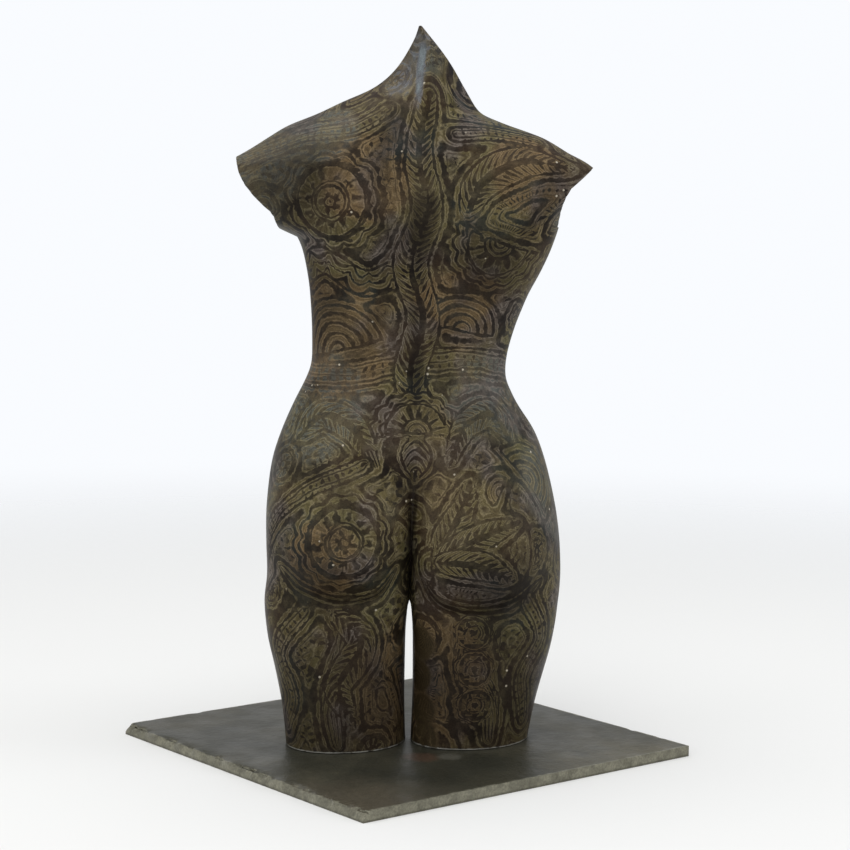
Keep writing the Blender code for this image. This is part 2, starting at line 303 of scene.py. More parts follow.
# %% Bands
def trace(cast, route, steps=9):
    """A smooth line through the route's places, laid on the skin."""
    route = np.array(route, float)
    padded = np.vstack([2 * route[0] - route[1], route, 2 * route[-1] - route[-2]])
    line = []
    for i in range(1, len(padded) - 2):
        a, b, c, d = padded[i - 1:i + 3]
        for t in np.arange(steps) / steps:
            line.append(0.5 * (2 * b + (c - a) * t + (2 * a - 5 * b + 4 * c - d) * t * t
                               + (3 * b - a - 3 * c + d) * t ** 3))
    line.append(route[-1])
    spots = [cast(*step) for step in line]
    return np.array([s[0] for s in spots]), np.array([s[1] for s in spots])


def follow(line):
    """For each vertex: its distance beside the line, how far along it is, and the line's normal."""
    spots, normals = line
    best = np.full(len(place), 9.0)
    beside = np.full(len(place), 9.0)
    along = np.zeros(len(place))
    upright = np.zeros((len(place), 3))
    done = 0.0
    for i in range(len(spots) - 1):
        step = spots[i + 1] - spots[i]
        length = np.linalg.norm(step)
        share = np.clip((drawn - spots[i]) @ step / length ** 2, 0, 1)
        reach = drawn - spots[i] - share[:, None] * step
        distance = np.linalg.norm(reach, axis=1)
        normal = normals[i] + normals[i + 1]
        normal /= np.linalg.norm(normal)
        left = np.cross(normal, step / length)
        nearer = distance < best
        best[nearer] = distance[nearer]
        beside[nearer] = (distance * np.where(reach @ left < 0, -1, 1))[nearer]
        along[nearer] = (done + share * length)[nearer]
        upright[nearer] = normal
        done += length
    return beside, along, done, (upright * facing).sum(axis=1) > NORMAL_LIMIT


LEAF_LEAN = 0.8
LEAF_FULLNESS = 0.7
LEAST_WIDTH = 0.0002


def band_width(along, length, half_width, taper):
    """Half the band's width: full all the way with taper 0, and shaped like a leaf with 1."""
    share = np.clip(along / length, 0.0, 1.0)
    blade = np.sin(math.pi * share ** LEAF_LEAN) ** LEAF_FULLNESS
    return half_width * (1 - taper + taper * blade) + LEAST_WIDTH


def band(line, half_width, rows, step, brush, tone=0.0, taper=0.0, wave=0.0, echo=True):
    """Rows that run beside a line, wavy with wave over 0, with a new bead after each step."""
    beside, along, length, allowed = follow(line)
    width = band_width(along, length, half_width, taper)
    row = beside / width * rows + wave * (arch(along / step) - 0.5)
    add_motif(np.abs(beside) - width, row, along / step, brush, tone,
              allowed & same_side(line[0][len(line[0]) // 2]), along, echo=echo)


BARB_START = 0.6
BARB_CURL = 0.7


def barbs(line, half_width, step, slant, brush, tone=0.0, taper=0.0, echo=True):
    """Short strokes on both sides of a line, which curl as they leave it."""
    beside, along, length, allowed = follow(line)
    width = band_width(along, length, half_width, taper)
    curl = BARB_START + BARB_CURL * np.abs(beside) / width
    add_motif(np.abs(beside) - width, (along + np.abs(beside) * slant * curl) / step,
              np.abs(beside) / width - 0.5, brush, tone,
              allowed & same_side(line[0][len(line[0]) // 2]), along, echo=echo)


# %% [markdown]
# ## The painter's brushes
#
# A brush is four numbers: the half width of the main strokes, how much they swell and shrink
# along the row, and the same two for a second stroke between them. They are shares of the
# distance between two rows. A stroke that swells more than its width breaks into beads.

# %% Brushes
FINE_LINES = (0.20, 0.02, 0.0, 0.0)
BOLD_LINES = (0.31, 0.04, 0.0, 0.0)
BEADED_LINES = (0.14, 0.0, 0.00, 0.24)
DOTS = (0.00, 0.32, 0.11, 0.0)
PETALS = (0.15, 0.16, 0.0, 0.0)
LEAVES = (0.18, 0.12, 0.0, 0.0)
SOLID = (0.42, 0.0, 0.0, 0.0)


# %% [markdown]
# A painter repeats a few motifs with small changes. Each is a function here, made of rounds
# and bands that are laid over each other, with their sizes as shares of its radius. The tone
# goes from about -1 to 1 and makes the ground under a motif warmer or duller. Echo is for the
# outermost round alone: the lines between the motifs follow that one.

# %% Motifs made of several
def rosette(spot, radius, petals, tone=0.0, twist=0.5):
    """A flower: a scalloped rim of beads, two crowns of curling petals, and a ringed heart."""
    rings(spot, radius, 4, petals, 0.12, BEADED_LINES, tone)
    rings(spot, radius * 0.80, 3, petals, 0.05, BOLD_LINES, tone, echo=False)
    spokes(spot, radius * 0.72, petals, PETALS, tone - 0.4, echo=False, twist=twist)
    rings(spot, radius * 0.40, 3, petals, 0.0, FINE_LINES, tone, echo=False)
    spokes(spot, radius * 0.32, petals // 2, PETALS, tone, echo=False, twist=-twist)
    rings(spot, radius * 0.12, 1, 6, 0.0, BOLD_LINES, tone, echo=False)


def shell(spot, radius, ribs, turn, tone=0.0):
    """Half a flower that opens one way, with a beaded rim and ribs."""
    rings(spot, radius, 5, ribs * 2, 0.10, BEADED_LINES, tone, turn, half=True)
    spokes(spot, radius * 0.70, ribs * 2, PETALS, tone - 0.3, turn, half=True, echo=False, twist=0.3)
    rings(spot, radius * 0.34, 3, 8, 0.0, FINE_LINES, tone, turn, half=True, echo=False)


def ripples(spot, radius, count, turn, tone=0.0):
    """Half rings round a spot, like ripples against a bank."""
    rings(spot, radius, count, 24, 0.0, FINE_LINES, tone, turn, half=True)


def leaf(line, half_width, step=0.0058, tone=0.0, taper=1.0):
    """A leaf with slanted veins on both sides of its stem."""
    barbs(line, half_width, step, -0.9, LEAVES, tone, taper)
    band(line, half_width * 0.13, 0.5, 0.01, SOLID, tone, taper * 0.6, echo=False)


def dotted_ribbon(line, half_width=0.0062, tone=0.0, taper=0.0):
    """A narrow band with one row of beads between two lines."""
    band(line, half_width, 1.0, 0.0052, DOTS, tone, taper)


def bud(spot, radius, turn, tone=0.0):
    """A small fan of drops over a ringed seed."""
    rings(spot, radius, 2, 14, 0.06, BOLD_LINES, tone, turn)
    spokes(spot, radius * 0.82, 9, PETALS, tone, turn, echo=False, twist=0.9)
    rings(spot, radius * 0.30, 1, 4, 0.0, FINE_LINES, tone, turn, echo=False)


# %% [markdown]
# ## Painting the body
#
# The large motifs come first, with their places in metres: x runs to the figure's left, z runs
# up from the floor, and a later motif lies over an earlier one. Above the waist, a flower and a
# half flower sit on the shoulder blades, with leaves, beaded ribbons and ripples between them.

# %% The back above the waist
rosette(on_back(0.056, 0.404), 0.035, 11, 0.2)
leaf(trace(on_back, [(0.102, 0.398), (0.118, 0.412), (0.136, 0.420)]), 0.011)
shoulder = [(0.016, 0.470), (0.040, 0.456), (0.075, 0.450), (0.108, 0.438), (0.128, 0.430)]
dotted_ribbon(trace(on_back, shoulder))
leaf(trace(on_back, [(-0.040, 0.392), (-0.052, 0.418), (-0.082, 0.433), (-0.118, 0.428)]), 0.0135)
dotted_ribbon(trace(on_back, [(-0.032, 0.452), (-0.060, 0.452), (-0.090, 0.447)]))
shell(on_back(-0.066, 0.376), 0.034, 7, math.radians(200), -0.2)
waves = trace(around, [(80, 0.352), (60, 0.361), (38, 0.345), (16, 0.352)])
band(waves, 0.010, 1.5, 0.017, FINE_LINES, 0.1, wave=0.8)
ripples(on_back(-0.040, 0.312), 0.026, 4, math.radians(10), 0.3)
ripples(on_back(0.050, 0.296), 0.033, 5, math.radians(-12), 0.8)
print("motifs on the shoulders:", len(motifs))

# %% [markdown]
# One long leaf climbs the furrow of the spine, and a belt of beaded rows goes all round the
# waist. Both are long, so their routes have more places than the others, to keep close to the
# form. The leaf is laid over the belt and hides where the belt crosses the spine.

# %% The spine and the waist
belt = trace(around, [(-178, 0.262), (-140, 0.270), (-100, 0.280), (-50, 0.290), (0, 0.286), (50, 0.280),
                      (100, 0.276), (140, 0.268), (178, 0.262)])
band(belt, 0.0095, 1.5, 0.0068, BEADED_LINES, 0.35)
leaf(trace(on_back, [(-0.006, 0.240), (-0.001, 0.280), (-0.011, 0.320), (-0.003, 0.360), (-0.013, 0.400),
                     (-0.006, 0.440), (-0.012, 0.480)]), 0.0125, taper=0.5)
print("motifs with the spine and the belt:", len(motifs))

# %% [markdown]
# A half flower opens upwards over the loins, with a small leaf under it where the cleft
# begins. Two leaves bend over the hips. On the flanks a ray from behind would only graze the
# skin, so those motifs are placed by their angle around the body.

# %% The loins and hips
shell(on_back(-0.006, 0.236), 0.032, 8, 0.0, 0.2)
leaf(trace(on_back, [(-0.006, 0.233), (-0.0055, 0.220), (-0.005, 0.206)]), 0.0110)
leaf(trace(on_back, [(0.078, 0.232), (0.058, 0.250), (0.036, 0.240), (0.022, 0.214)]), 0.0115)
leaf(trace(on_back, [(-0.080, 0.228), (-0.064, 0.250), (-0.044, 0.244), (-0.030, 0.216)]), 0.0115)
dotted_ribbon(trace(around, [(30, 0.216), (48, 0.200), (66, 0.170), (80, 0.135)]), 0.0060)
ripples(around(-62, 0.205), 0.028, 4, math.radians(60), -0.1)
print("motifs with the loins:", len(motifs))

# %% [markdown]
# The fold under each buttock is a curve that the form itself gives. A dark band is painted
# along it, and the same places serve again later, for the painted shade in the fold. A
# flower covers one buttock, and three leaves spread from one point over the other.

# %% The buttocks
FOLDS = {
    "left": [(0.090, 0.142), (0.074, 0.127), (0.046, 0.119), (0.020, 0.123), (0.006, 0.142)],
    "right": [(-0.098, 0.132), (-0.080, 0.115), (-0.050, 0.109), (-0.026, 0.117), (-0.013, 0.138)],
}
for fold in FOLDS.values():
    band(trace(on_back, fold), 0.0060, 1.0, 0.012, BOLD_LINES, -0.2, taper=0.8)
rosette(on_back(0.044, 0.166), 0.034, 13, 0.1)
stem_x, stem_z = -0.020, 0.150
for tip_x, tip_z in ((-0.046, 0.206), (-0.082, 0.178), (-0.078, 0.134)):
    bend = ((tip_x + stem_x) / 2 - 0.004, (tip_z + stem_z) / 2 + 0.006)
    leaf(trace(on_back, [(stem_x, stem_z), bend, (tip_x, tip_z)]), 0.0115)
ripples(on_back(-0.020, 0.146), 0.014, 2, math.radians(-90))
print("motifs with the buttocks:", len(motifs))

# %% [markdown]
# The thighs carry upright bands of fine rows, a leaf, beaded ribbons and three small flowers.
# They are drawn more openly than the back. Below the crotch each motif stays on its own leg.

# %% The thighs
for start, end in ((34, 40), (76, 74), (-40, -46), (-92, -88)):
    upright_line = trace(around, [(start, 0.100), (start + 3, 0.070), (end, 0.045), (end - 2, 0.016)])
    band(upright_line, 0.0085, 2.5, 0.0046, FINE_LINES, -0.3, taper=0.3)
leaf(trace(on_back, [(0.052, 0.112), (0.030, 0.088), (0.046, 0.058), (0.032, 0.028)]), 0.012)
dotted_ribbon(trace(around, [(50, 0.110), (62, 0.080), (56, 0.050), (62, 0.026)]))
for height in (0.094, 0.068, 0.042):
    rosette(on_back(-0.050, height), 0.0135, 7)
dotted_ribbon(trace(around, [(-62, 0.118), (-72, 0.090), (-64, 0.060), (-70, 0.030)]))
print("motifs with the thighs:", len(motifs))

# %% [markdown]
# The photograph shows only the back. The front gets the same motifs, fewer and mostly in
# pairs, so that the piece looks finished from every side.

# %% The front and the flanks
rosette(on_front(-0.005, 0.245), 0.036, 12, 0.1)
for way in (1, -1):
    shell(on_front(0.045 * way - 0.006, 0.385), 0.030, 6, 0.0, 0.1)
    leaf(trace(around, [(104 * way, 0.345), (112 * way, 0.315), (100 * way, 0.290)]), 0.012)
    flank = [(100 * way, 0.262), (118 * way, 0.225), (108 * way, 0.180), (122 * way, 0.140)]
    leaf(trace(around, flank), 0.016)
    leaf(trace(on_front, [(0.045 * way - 0.004, 0.180), (0.060 * way - 0.004, 0.120),
                          (0.045 * way - 0.004, 0.050)]), 0.016)
print("large motifs:", len(motifs))

# %% [markdown]
# What is left between the large motifs is filled with small ones. The middle of the widest gap
# is the vertex that is farthest from every edge. A filler goes there, the gaps are measured
# again, and so on until none is wide. The multiples of the golden ratio give each filler its
# own turn and tone without any random number.

# %% Small motifs in the gaps
WIDEST_GAP = 0.021
FILL = 0.54
LARGEST_FILLER = 0.017
GOLDEN = 0.618034

gap = np.min([motif["edge"] for motif in motifs if motif["echo"]], axis=0)
fillers = 0
while gap.max() > WIDEST_GAP:
    widest = int(gap.argmax())
    radius = min(FILL * gap[widest], LARGEST_FILLER)
    spot = (place[widest], facing[widest])
    lot = fillers * GOLDEN % 1.0
    tone = 1.6 * lot - 0.8
    if fillers % 3 == 0:
        shell(spot, radius, 5, TAU * lot, tone)
    elif fillers % 3 == 1:
        ripples(spot, radius, 3, TAU * lot, tone)
    else:
        bud(spot, radius, TAU * lot, tone)
    gap = np.minimum(gap, np.linalg.norm(drawn - place[widest], axis=1) - radius)
    fillers += 1
print("fillers:", fillers, "motifs:", len(motifs))

# %% [markdown]
# The last gaps hold lines that echo the motifs' edges, as ripples run round stones. Their row
# is the distance to the nearest edge. Halfway between two motifs the plain nearest distance
# would turn with a kink, so a soft minimum melts the two distances together there.

# %% The lines between the motifs
ECHO_PITCH = 0.0060
BEAD_STEP = 0.0054
ECHO_BRUSHES = np.array([BOLD_LINES, BOLD_LINES, DOTS, FINE_LINES, BOLD_LINES, BOLD_LINES])
MELT = 0.0025
MELT_BACK = 0.3

echoing = [motif for motif in motifs if motif["echo"]]
edges = np.array([motif["edge"] for motif in echoing])
closest = edges.min(axis=0)
owner = edges.argmin(axis=0)
nearest = closest - MELT * np.log(np.exp((closest - edges) / MELT).sum(axis=0))
nearest += MELT * MELT_BACK
run = np.array([motif["run"] for motif in echoing])[owner, np.arange(len(place))]
print("motifs:", len(motifs), "widest gap between them:", round(nearest.max(), 4), "m")

# %% [markdown]
# Each face keeps the last motif that reaches it and the one under that, so that the edge
# between them can be drawn through the middle of the face. Somewhere in a round motif the angle
# jumps by a whole turn. Within each face that jump is taken out, or a stray stroke would show.

# %% Which motif each face shows
count = len(faces)
top = np.full(count, -1)
under = np.full(count, -1)
top_covers = np.zeros(count, bool)
for index, motif in enumerate(motifs):
    edge = motif["edge"][faces]
    touched = (edge.min(axis=1) < MARGIN) & motif["allowed"][faces].all(axis=1)
    # a motif that only reached this face with its margin doesn't hide what lies under it
    keeps = touched & top_covers | touched & (top == -1)
    under[keeps] = top[keeps]
    top[touched] = index
    top_covers[touched] = (edge.min(axis=1) < 0)[touched]


def corner_values(chosen):
    """The fields and brushes of the chosen motif of each face, at each corner of the face."""
    field = np.zeros((count, 4, 3))
    brush = np.zeros((count, 4, 4))
    tone = np.zeros((count, 4))
    for index in range(-1, len(motifs)):
        mine = chosen == index
        if not mine.any():
            continue
        at = faces[mine]
        if index < 0:
            row = nearest[at] / ECHO_PITCH
            number = np.rint(row).astype(int)
            field[mine] = np.stack([row, run[at] / BEAD_STEP, np.full(at.shape, -1.0)], axis=2)
            brush[mine] = ECHO_BRUSHES[number % len(ECHO_BRUSHES)]
            continue
        motif = motifs[index]
        row, along = motif["row"][at], motif["along"][at]
        for values, turn in ((row, motif["row_turn"]), (along, motif["along_turn"])):
            if turn:
                step = values - values[:, :1]
                values -= np.rint(step / turn) * turn
        field[mine] = np.stack([row, along, motif["edge"][at]], axis=2)
        brush[mine] = motif["brush"]
        tone[mine] = motif["tone"]
    return field, brush, tone


def store(name, values, domain="CORNER"):
    """Keeps three numbers for each face corner, or for each vertex, in an attribute of the skin."""
    made = skin.attributes.new(name, "FLOAT_VECTOR", domain)
    made.data.foreach_set("vector", np.ascontiguousarray(values, np.float32).ravel())


for name, chosen in (("top", top), ("under", under)):
    field, brush, tone = corner_values(chosen)
    store(name + "_field", field)
    store(name + "_brush", brush[:, :, :3])
    store(name + "_more", np.stack([brush[:, :, 3], tone, np.zeros_like(tone)], axis=2))
print("faces under a motif:", int((top >= 0).sum()), "of", count)

# %% [markdown]
# ## Wear, stains and painted light
#
# Hollows get a painted shade, and what stands proud is painted lighter, partly for wear and partly as a
# painted highlight. To find both, a copy of the skin is smoothed by moving each vertex to the middle of its
# neighbours many times: over a hollow the smooth copy lies outside the skin, and under a ridge inside it.

# %% Hollows and high places
SMOOTHINGS = 90
DEEP = 0.0016
HOLLOW_GAIN, HOLLOW_FROM = 1.3, 0.45
PROUD_GAIN, PROUD_FROM = 1.5, 0.2
HOLLOW_ON_FRONT = 0.5

pairs = np.empty(len(skin.edges) * 2, np.int32)
skin.edges.foreach_get("vertices", pairs)
one, other = pairs.reshape(-1, 2).T
links = np.bincount(np.concatenate([one, other]), minlength=len(place))
smoothed = place.copy()
for _ in range(SMOOTHINGS):
    for axis in range(3):
        total = np.bincount(one, smoothed[other, axis], len(place))
        total += np.bincount(other, smoothed[one, axis], len(place))
        smoothed[:, axis] = 0.5 * smoothed[:, axis] + 0.5 * total / links
inward = ((smoothed - place) * facing).sum(axis=1) / DEEP
# how deep each hollow is, for the painted shade there, which is half as dark on the front
hollow = np.clip(HOLLOW_GAIN * inward - HOLLOW_FROM, 0, 1) * np.where(place[:, 1] > 0, 1.0, HOLLOW_ON_FRONT)
proud = np.clip(-PROUD_GAIN * inward - PROUD_FROM, 0, 1)
print("hollow vertices:", int((hollow > 0.5).sum()), "proud:", int((proud > 0.5).sum()))

# %% [markdown]
# The patina changes from patch to patch: ochre and moss in the light places, and dark patches on
# the back and the left flank. The blue grey on the neck, the shoulders and the hips is a painted sheen, and
# the dark on the thighs and under the buttocks is painted shade. Each patch is a place and a radius, and has
# soft edges. Thin ink was brushed under the ornament in broad strokes too, and those are lines with a width
# and a strength, like the painted shade in the folds and beside the neck's ridge.

# %% Soft spots and soft lines
SPOT_REACH = 1.3
LINE_REACH = 1.35
LINE_END_FADE = 0.018


def ease(amount):
    """Rounds off the start and the end of a change from 0 to 1."""
    return amount * amount * (3 - 2 * amount)


def spot_cover(spots):
    """How strongly these soft spots cover each vertex."""
    amount = np.zeros(len(place))
    for (centre, _), radius in spots:
        distance = np.linalg.norm(place - centre, axis=1)
        amount = np.maximum(amount, np.clip(SPOT_REACH - distance / radius, 0, 1))
    return ease(amount)


def line_cover(strokes):
    """How strongly these soft lines cover each vertex."""
    amount = np.zeros(len(place))
    for line, half_width, strength in strokes:
        beside, along, length, allowed = follow(line)
        ends = np.clip(np.minimum(along, length - along) / LINE_END_FADE, 0, 1)
        cover = np.clip(LINE_REACH - np.abs(beside) / half_width, 0, 1) * allowed
        amount = np.maximum(amount, strength * ends * ease(cover))
    return amount


def back_spots(*spots):
    """Spots on the back, each given by x, z and its radius."""
    return [(on_back(x, z), radius) for x, z, radius in spots]


def flank_spots(*spots):
    """Spots anywhere round the body, each given by its angle, its height and its radius."""
    return [(around(degrees, z), radius) for degrees, z, radius in spots]


# %% [markdown]
# An attribute on the vertices carries three amounts at once, where a colour would go: here
# ochre stain, grey that is a painted sheen, and dark that is dark patches with painted shade. The material
# reads them back and mixes the colours itself, so a stain or a painted shade can be moved without touching
# the material.

# %% Stains, painted sheen and painted shade
DARKEST_PATCH = 0.64
DARKEST_HOLLOW_SHADE = 0.85

OCHRE_STAINS = back_spots(
    (0.052, 0.305, 0.045), (0.030, 0.420, 0.032), (-0.085, 0.430, 0.030), (-0.040, 0.330, 0.030),
    (0.060, 0.150, 0.030), (-0.016, 0.060, 0.050),
)
# painted sheen: blue grey on the neck, the shoulders and the hips, where a glossy surface would mirror the
# bright room
PAINTED_SHEEN_SPOTS = back_spots(
    (0.088, 0.376, 0.026), (0.060, 0.452, 0.030), (0.002, 0.498, 0.026), (0.110, 0.435, 0.050),
    (0.070, 0.255, 0.050), (-0.060, 0.260, 0.040),
) + flank_spots((85, 0.200, 0.050), (-85, 0.200, 0.050), (-85, 0.400, 0.030))
# dark patches on the back and the left flank; those on the thighs and just under the buttocks are painted
# shade
DARK_PATCHES_AND_SHADE = back_spots(
    (0.085, 0.420, 0.045), (0.045, 0.040, 0.070), (-0.060, 0.050, 0.075), (-0.060, 0.360, 0.035),
    (0.064, 0.130, 0.034), (-0.074, 0.122, 0.040),
) + flank_spots((80, 0.330, 0.040))
# broad strokes of thin ink, the first of them a painted shadow beside the neck's ridge: where they run, half
# width, strength
WASHES_AND_RIDGE_SHADE = [
    (trace(on_back, [(-0.0172, 0.512), (-0.0146, 0.490), (-0.0132, 0.462), (-0.0100, 0.440)]), 0.0034, 0.34),
    (trace(on_back, [(0.006, 0.480), (0.022, 0.420), (0.012, 0.350), (0.040, 0.290), (0.078, 0.262)]),
     0.0085, 0.38),
    (trace(on_back, [(-0.110, 0.440), (-0.092, 0.395), (-0.052, 0.350), (-0.022, 0.300), (-0.034, 0.262)]),
     0.0090, 0.38),
    (trace(on_back, [(0.118, 0.425), (0.090, 0.372), (0.040, 0.345), (0.014, 0.372)]), 0.0080, 0.36),
    (trace(around, [(96, 0.262), (70, 0.222), (40, 0.205), (30, 0.180), (48, 0.150)]), 0.0090, 0.36),
    (trace(around, [(-30, 0.262), (-58, 0.226), (-50, 0.180), (-84, 0.150), (-88, 0.110)]), 0.0090, 0.36),
    (trace(around, [(28, 0.104), (44, 0.070), (30, 0.040), (40, 0.012)]), 0.0085, 0.38),
    (trace(around, [(-56, 0.104), (-30, 0.076), (-48, 0.040), (-36, 0.012)]), 0.0085, 0.38),
]
# painted shade in the folds under the buttocks, in the cleft and on the cleft's two sides above it
FOLD_SHADE = [
    (trace(on_back, FOLDS["left"]), 0.0045, 0.70),
    (trace(on_back, FOLDS["right"]), 0.0045, 0.70),
    (trace(on_back, [(CLEFT_X, 0.196), (CLEFT_X, 0.178), (CLEFT_X, 0.160), (CLEFT_X, 0.116)]), 0.0040, 0.95),
    (trace(on_back, [(0.012, 0.222), (0.004, 0.200), (-0.003, 0.182)]), 0.0050, 0.55),
    (trace(on_back, [(-0.022, 0.222), (-0.013, 0.200), (-0.006, 0.182)]), 0.0050, 0.55),
]

# the dark amount: dark patches together with painted shade in the folds, the cleft, every hollow and on the
# thighs
darkening_and_shade = np.maximum(DARKEST_PATCH * spot_cover(DARK_PATCHES_AND_SHADE), line_cover(WASHES_AND_RIDGE_SHADE + FOLD_SHADE))
darkening_and_shade = np.maximum(darkening_and_shade, DARKEST_HOLLOW_SHADE * hollow)
stain_sheen_shade_values = np.stack([spot_cover(OCHRE_STAINS), spot_cover(PAINTED_SHEEN_SPOTS), darkening_and_shade], axis=1)
store("stains_sheen_and_shade", stain_sheen_shade_values, "POINT")
print("mean ochre, grey and dark:", stain_sheen_shade_values.mean(axis=0).round(3))

# %% [markdown]
# The left side of the neck carries a painted highlight: a pale blue grey sheen that ends all at once at the
# neck's ridge, with one brighter painted streak beside it. The inner sides of the thighs were left bare by
# the brush, and around the loins the surface is chipped in small specks. These are three more
# amounts on the vertices.

# %% Painted neck highlight, bare and speckled places
NECK_STREAK_LINE = trace(on_back, [(-0.0112, 0.525), (-0.0094, 0.510), (-0.0080, 0.494), (-0.0065, 0.466)])
NECK_STREAK_HALF_WIDTH = 0.0052
NECK_SHEEN_SPOTS = back_spots((-0.008, 0.514, 0.016), (0.000, 0.500, 0.018), (0.006, 0.486, 0.014))
NECK_SHEEN_SHARE = 0.55
SPECKLED = back_spots(
    (0.042, 0.284, 0.012), (-0.028, 0.284, 0.014), (-0.018, 0.268, 0.012), (-0.004, 0.200, 0.014),
    (0.072, 0.262, 0.012), (-0.088, 0.228, 0.012),
)
BARE_RADIUS = 0.017
BARE = flank_spots(*[
    (angle, level, BARE_RADIUS) for angle, level in
    ((-9, 0.085), (-9, 0.060), (-11, 0.035), (-12, 0.015), (12, 0.080), (10, 0.050), (10, 0.020))
])
# the line of the neck's ridge, seen from behind, and how soon the painted highlight ends there
RIDGE_TOP, RIDGE_FOOT = (-0.0150, 0.512), (-0.0060, 0.455)
RIDGE_SOFT = 0.0015

ridge_x = np.interp(place[:, 2], (RIDGE_FOOT[1], RIDGE_TOP[1]), (RIDGE_FOOT[0], RIDGE_TOP[0]))
neck_highlight = np.maximum(line_cover([(NECK_STREAK_LINE, NECK_STREAK_HALF_WIDTH, 1.0)]), NECK_SHEEN_SHARE * spot_cover(NECK_SHEEN_SPOTS))
neck_highlight = neck_highlight * np.clip((place[:, 0] - ridge_x) / RIDGE_SOFT, 0, 1)
# the first amount is the painted highlight on the neck, then come the bare places and the specks
store("bare", np.stack([neck_highlight, spot_cover(BARE), spot_cover(SPECKLED)], axis=1), "POINT")
print("chalky vertices:", int((neck_highlight > 0.5).sum()))

# %% [markdown]
# The ground is painted lighter and the ink thinner at the nape, at the waist, on the crowns of the buttocks
# and wherever the skin stands proud: partly wear where hands have held and wiped the piece, and partly a
# painted highlight where the forms face the light.

# %% Rubbed places and painted highlights
RUBBED_LIT_SPOT, RUBBED_LIT_PROUD = 0.9, 0.5
RUBBED_AND_LIT_SPOTS = back_spots(
    (0.006, 0.446, 0.032), (-0.008, 0.404, 0.030), (0.042, 0.300, 0.045), (-0.044, 0.300, 0.040),
    (0.048, 0.192, 0.040), (-0.052, 0.188, 0.042), (-0.070, 0.410, 0.035), (0.030, 0.245, 0.034),
    (-0.030, 0.245, 0.034),
)
# wear and painted highlight together: a lighter ground on the crowns of the forms and wherever the skin
# stands proud
rubbed_and_lit = np.clip(RUBBED_LIT_SPOT * spot_cover(RUBBED_AND_LIT_SPOTS) + RUBBED_LIT_PROUD * proud, 0, 1)
made = skin.attributes.new("rubbed_and_lit", "FLOAT", "POINT")
made.data.foreach_set("value", rubbed_and_lit.astype(np.float32))
print("rubbed vertices:", int((rubbed_and_lit > 0.5).sum()))

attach(torso, "root")
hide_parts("torso")


# %% [markdown]
# ## Wiring materials
#
# A procedural material is a network of nodes. Linked by hand in the shader editor it is quick
# to try out but hard to read later. A small class lets the network be written like sums, one
# step a line, in the order in which a painter would think of it.

# %% Helpers for nodes
class Wiring:
    """Adds nodes to one tree, so that a pattern can be written like a sum."""

    def __init__(self, tree):
        self.tree = tree

    def put(self, socket, value):
        """Links a value that is an output, and sets one that is a number or a colour."""
        if isinstance(value, bpy.types.NodeSocket):
            self.tree.links.new(value, socket)
        elif value is not None:
            socket.default_value = value

    def node(self, kind, *values, **settings):
        made = self.tree.nodes.new(kind)
        for key, setting in settings.items():
            setattr(made, key, setting)
        for socket, value in zip(made.inputs, values):
            self.put(socket, value)
        return made

    def math(self, operation, *values):
        return self.node("ShaderNodeMath", *values, operation=operation).outputs[0]

    def fade(self, value, low, high, first=0.0, last=1.0):
        """Goes smoothly from first to last while the value goes from low to high."""
        made = self.node("ShaderNodeMapRange", value, low, high, first, last, interpolation_type="SMOOTHSTEP")
        return made.outputs[0]

    def noise(self, where, scale, detail=2.0, rough=0.5):
        made = self.node("ShaderNodeTexNoise", noise_dimensions="3D")
        self.put(made.inputs["Vector"], where)
        self.put(made.inputs["Scale"], scale)
        made.inputs["Detail"].default_value = detail
        made.inputs["Roughness"].default_value = rough
        return made.outputs["Fac"]

    def patches(self, where, scale, low, high, first=0.0, last=1.0, detail=2.0, rough=0.5):
        """Soft patches, about one in each 1/scale metre: first between them and last in them."""
        return self.fade(self.noise(where, scale, detail, rough), low, high, first, last)

    def stronger(self, *values):
        return self.math("MAXIMUM", *values)

    def times(self, *values):
        return self.math("MULTIPLY", *values)

    def scaled(self, colour, amount):
        """A colour made lighter or darker."""
        made = self.node("ShaderNodeVectorMath", colour, operation="SCALE")
        self.put(made.inputs["Scale"], amount)
        return made.outputs[0]

    def blend(self, amount, first, second):
        """A colour between two others."""
        made = self.node("ShaderNodeMix", data_type="RGBA")
        self.put(made.inputs[0], amount)
        self.put(made.inputs[6], first)
        self.put(made.inputs[7], second)
        return made.outputs[2]

    def pick(self, amount, first, second):
        """A vector between two others."""
        made = self.node("ShaderNodeMix", data_type="VECTOR")
        self.put(made.inputs[0], amount)
        self.put(made.inputs[4], first)
        self.put(made.inputs[5], second)
        return made.outputs[1]

    def parts(self, vector):
        return self.node("ShaderNodeSeparateXYZ", vector).outputs

    def attribute(self, name, output="Vector"):
        return self.node("ShaderNodeAttribute", attribute_name=name).outputs[output]


def new_group(name, inputs, outputs):
    """An empty node group with number sockets, and its wiring."""
    tree = bpy.data.node_groups.new(name, "ShaderNodeTree")
    for label in inputs:
        kind = "NodeSocketVector" if label == "Place" else "NodeSocketFloat"
        tree.interface.new_socket(label, in_out="INPUT", socket_type=kind)
    for label in outputs:
        tree.interface.new_socket(label, in_out="OUTPUT", socket_type="NodeSocketFloat")
    wiring = Wiring(tree)
    return wiring, wiring.node("NodeGroupInput").outputs, wiring.node("NodeGroupOutput").inputs


# %% [markdown]
# The strokes take eight numbers and are best kept in one box, so they are a node group: it gets
# the row and the place along the row, and gives back how much ink lies there and how much of
# the pale edge beside it. It puts out masks only. The colours and the shader stay in the
# material, where they are easy to change.

# %% The brush strokes as a group
THINNEST_STROKE = 0.05
HALO_START = 0.4

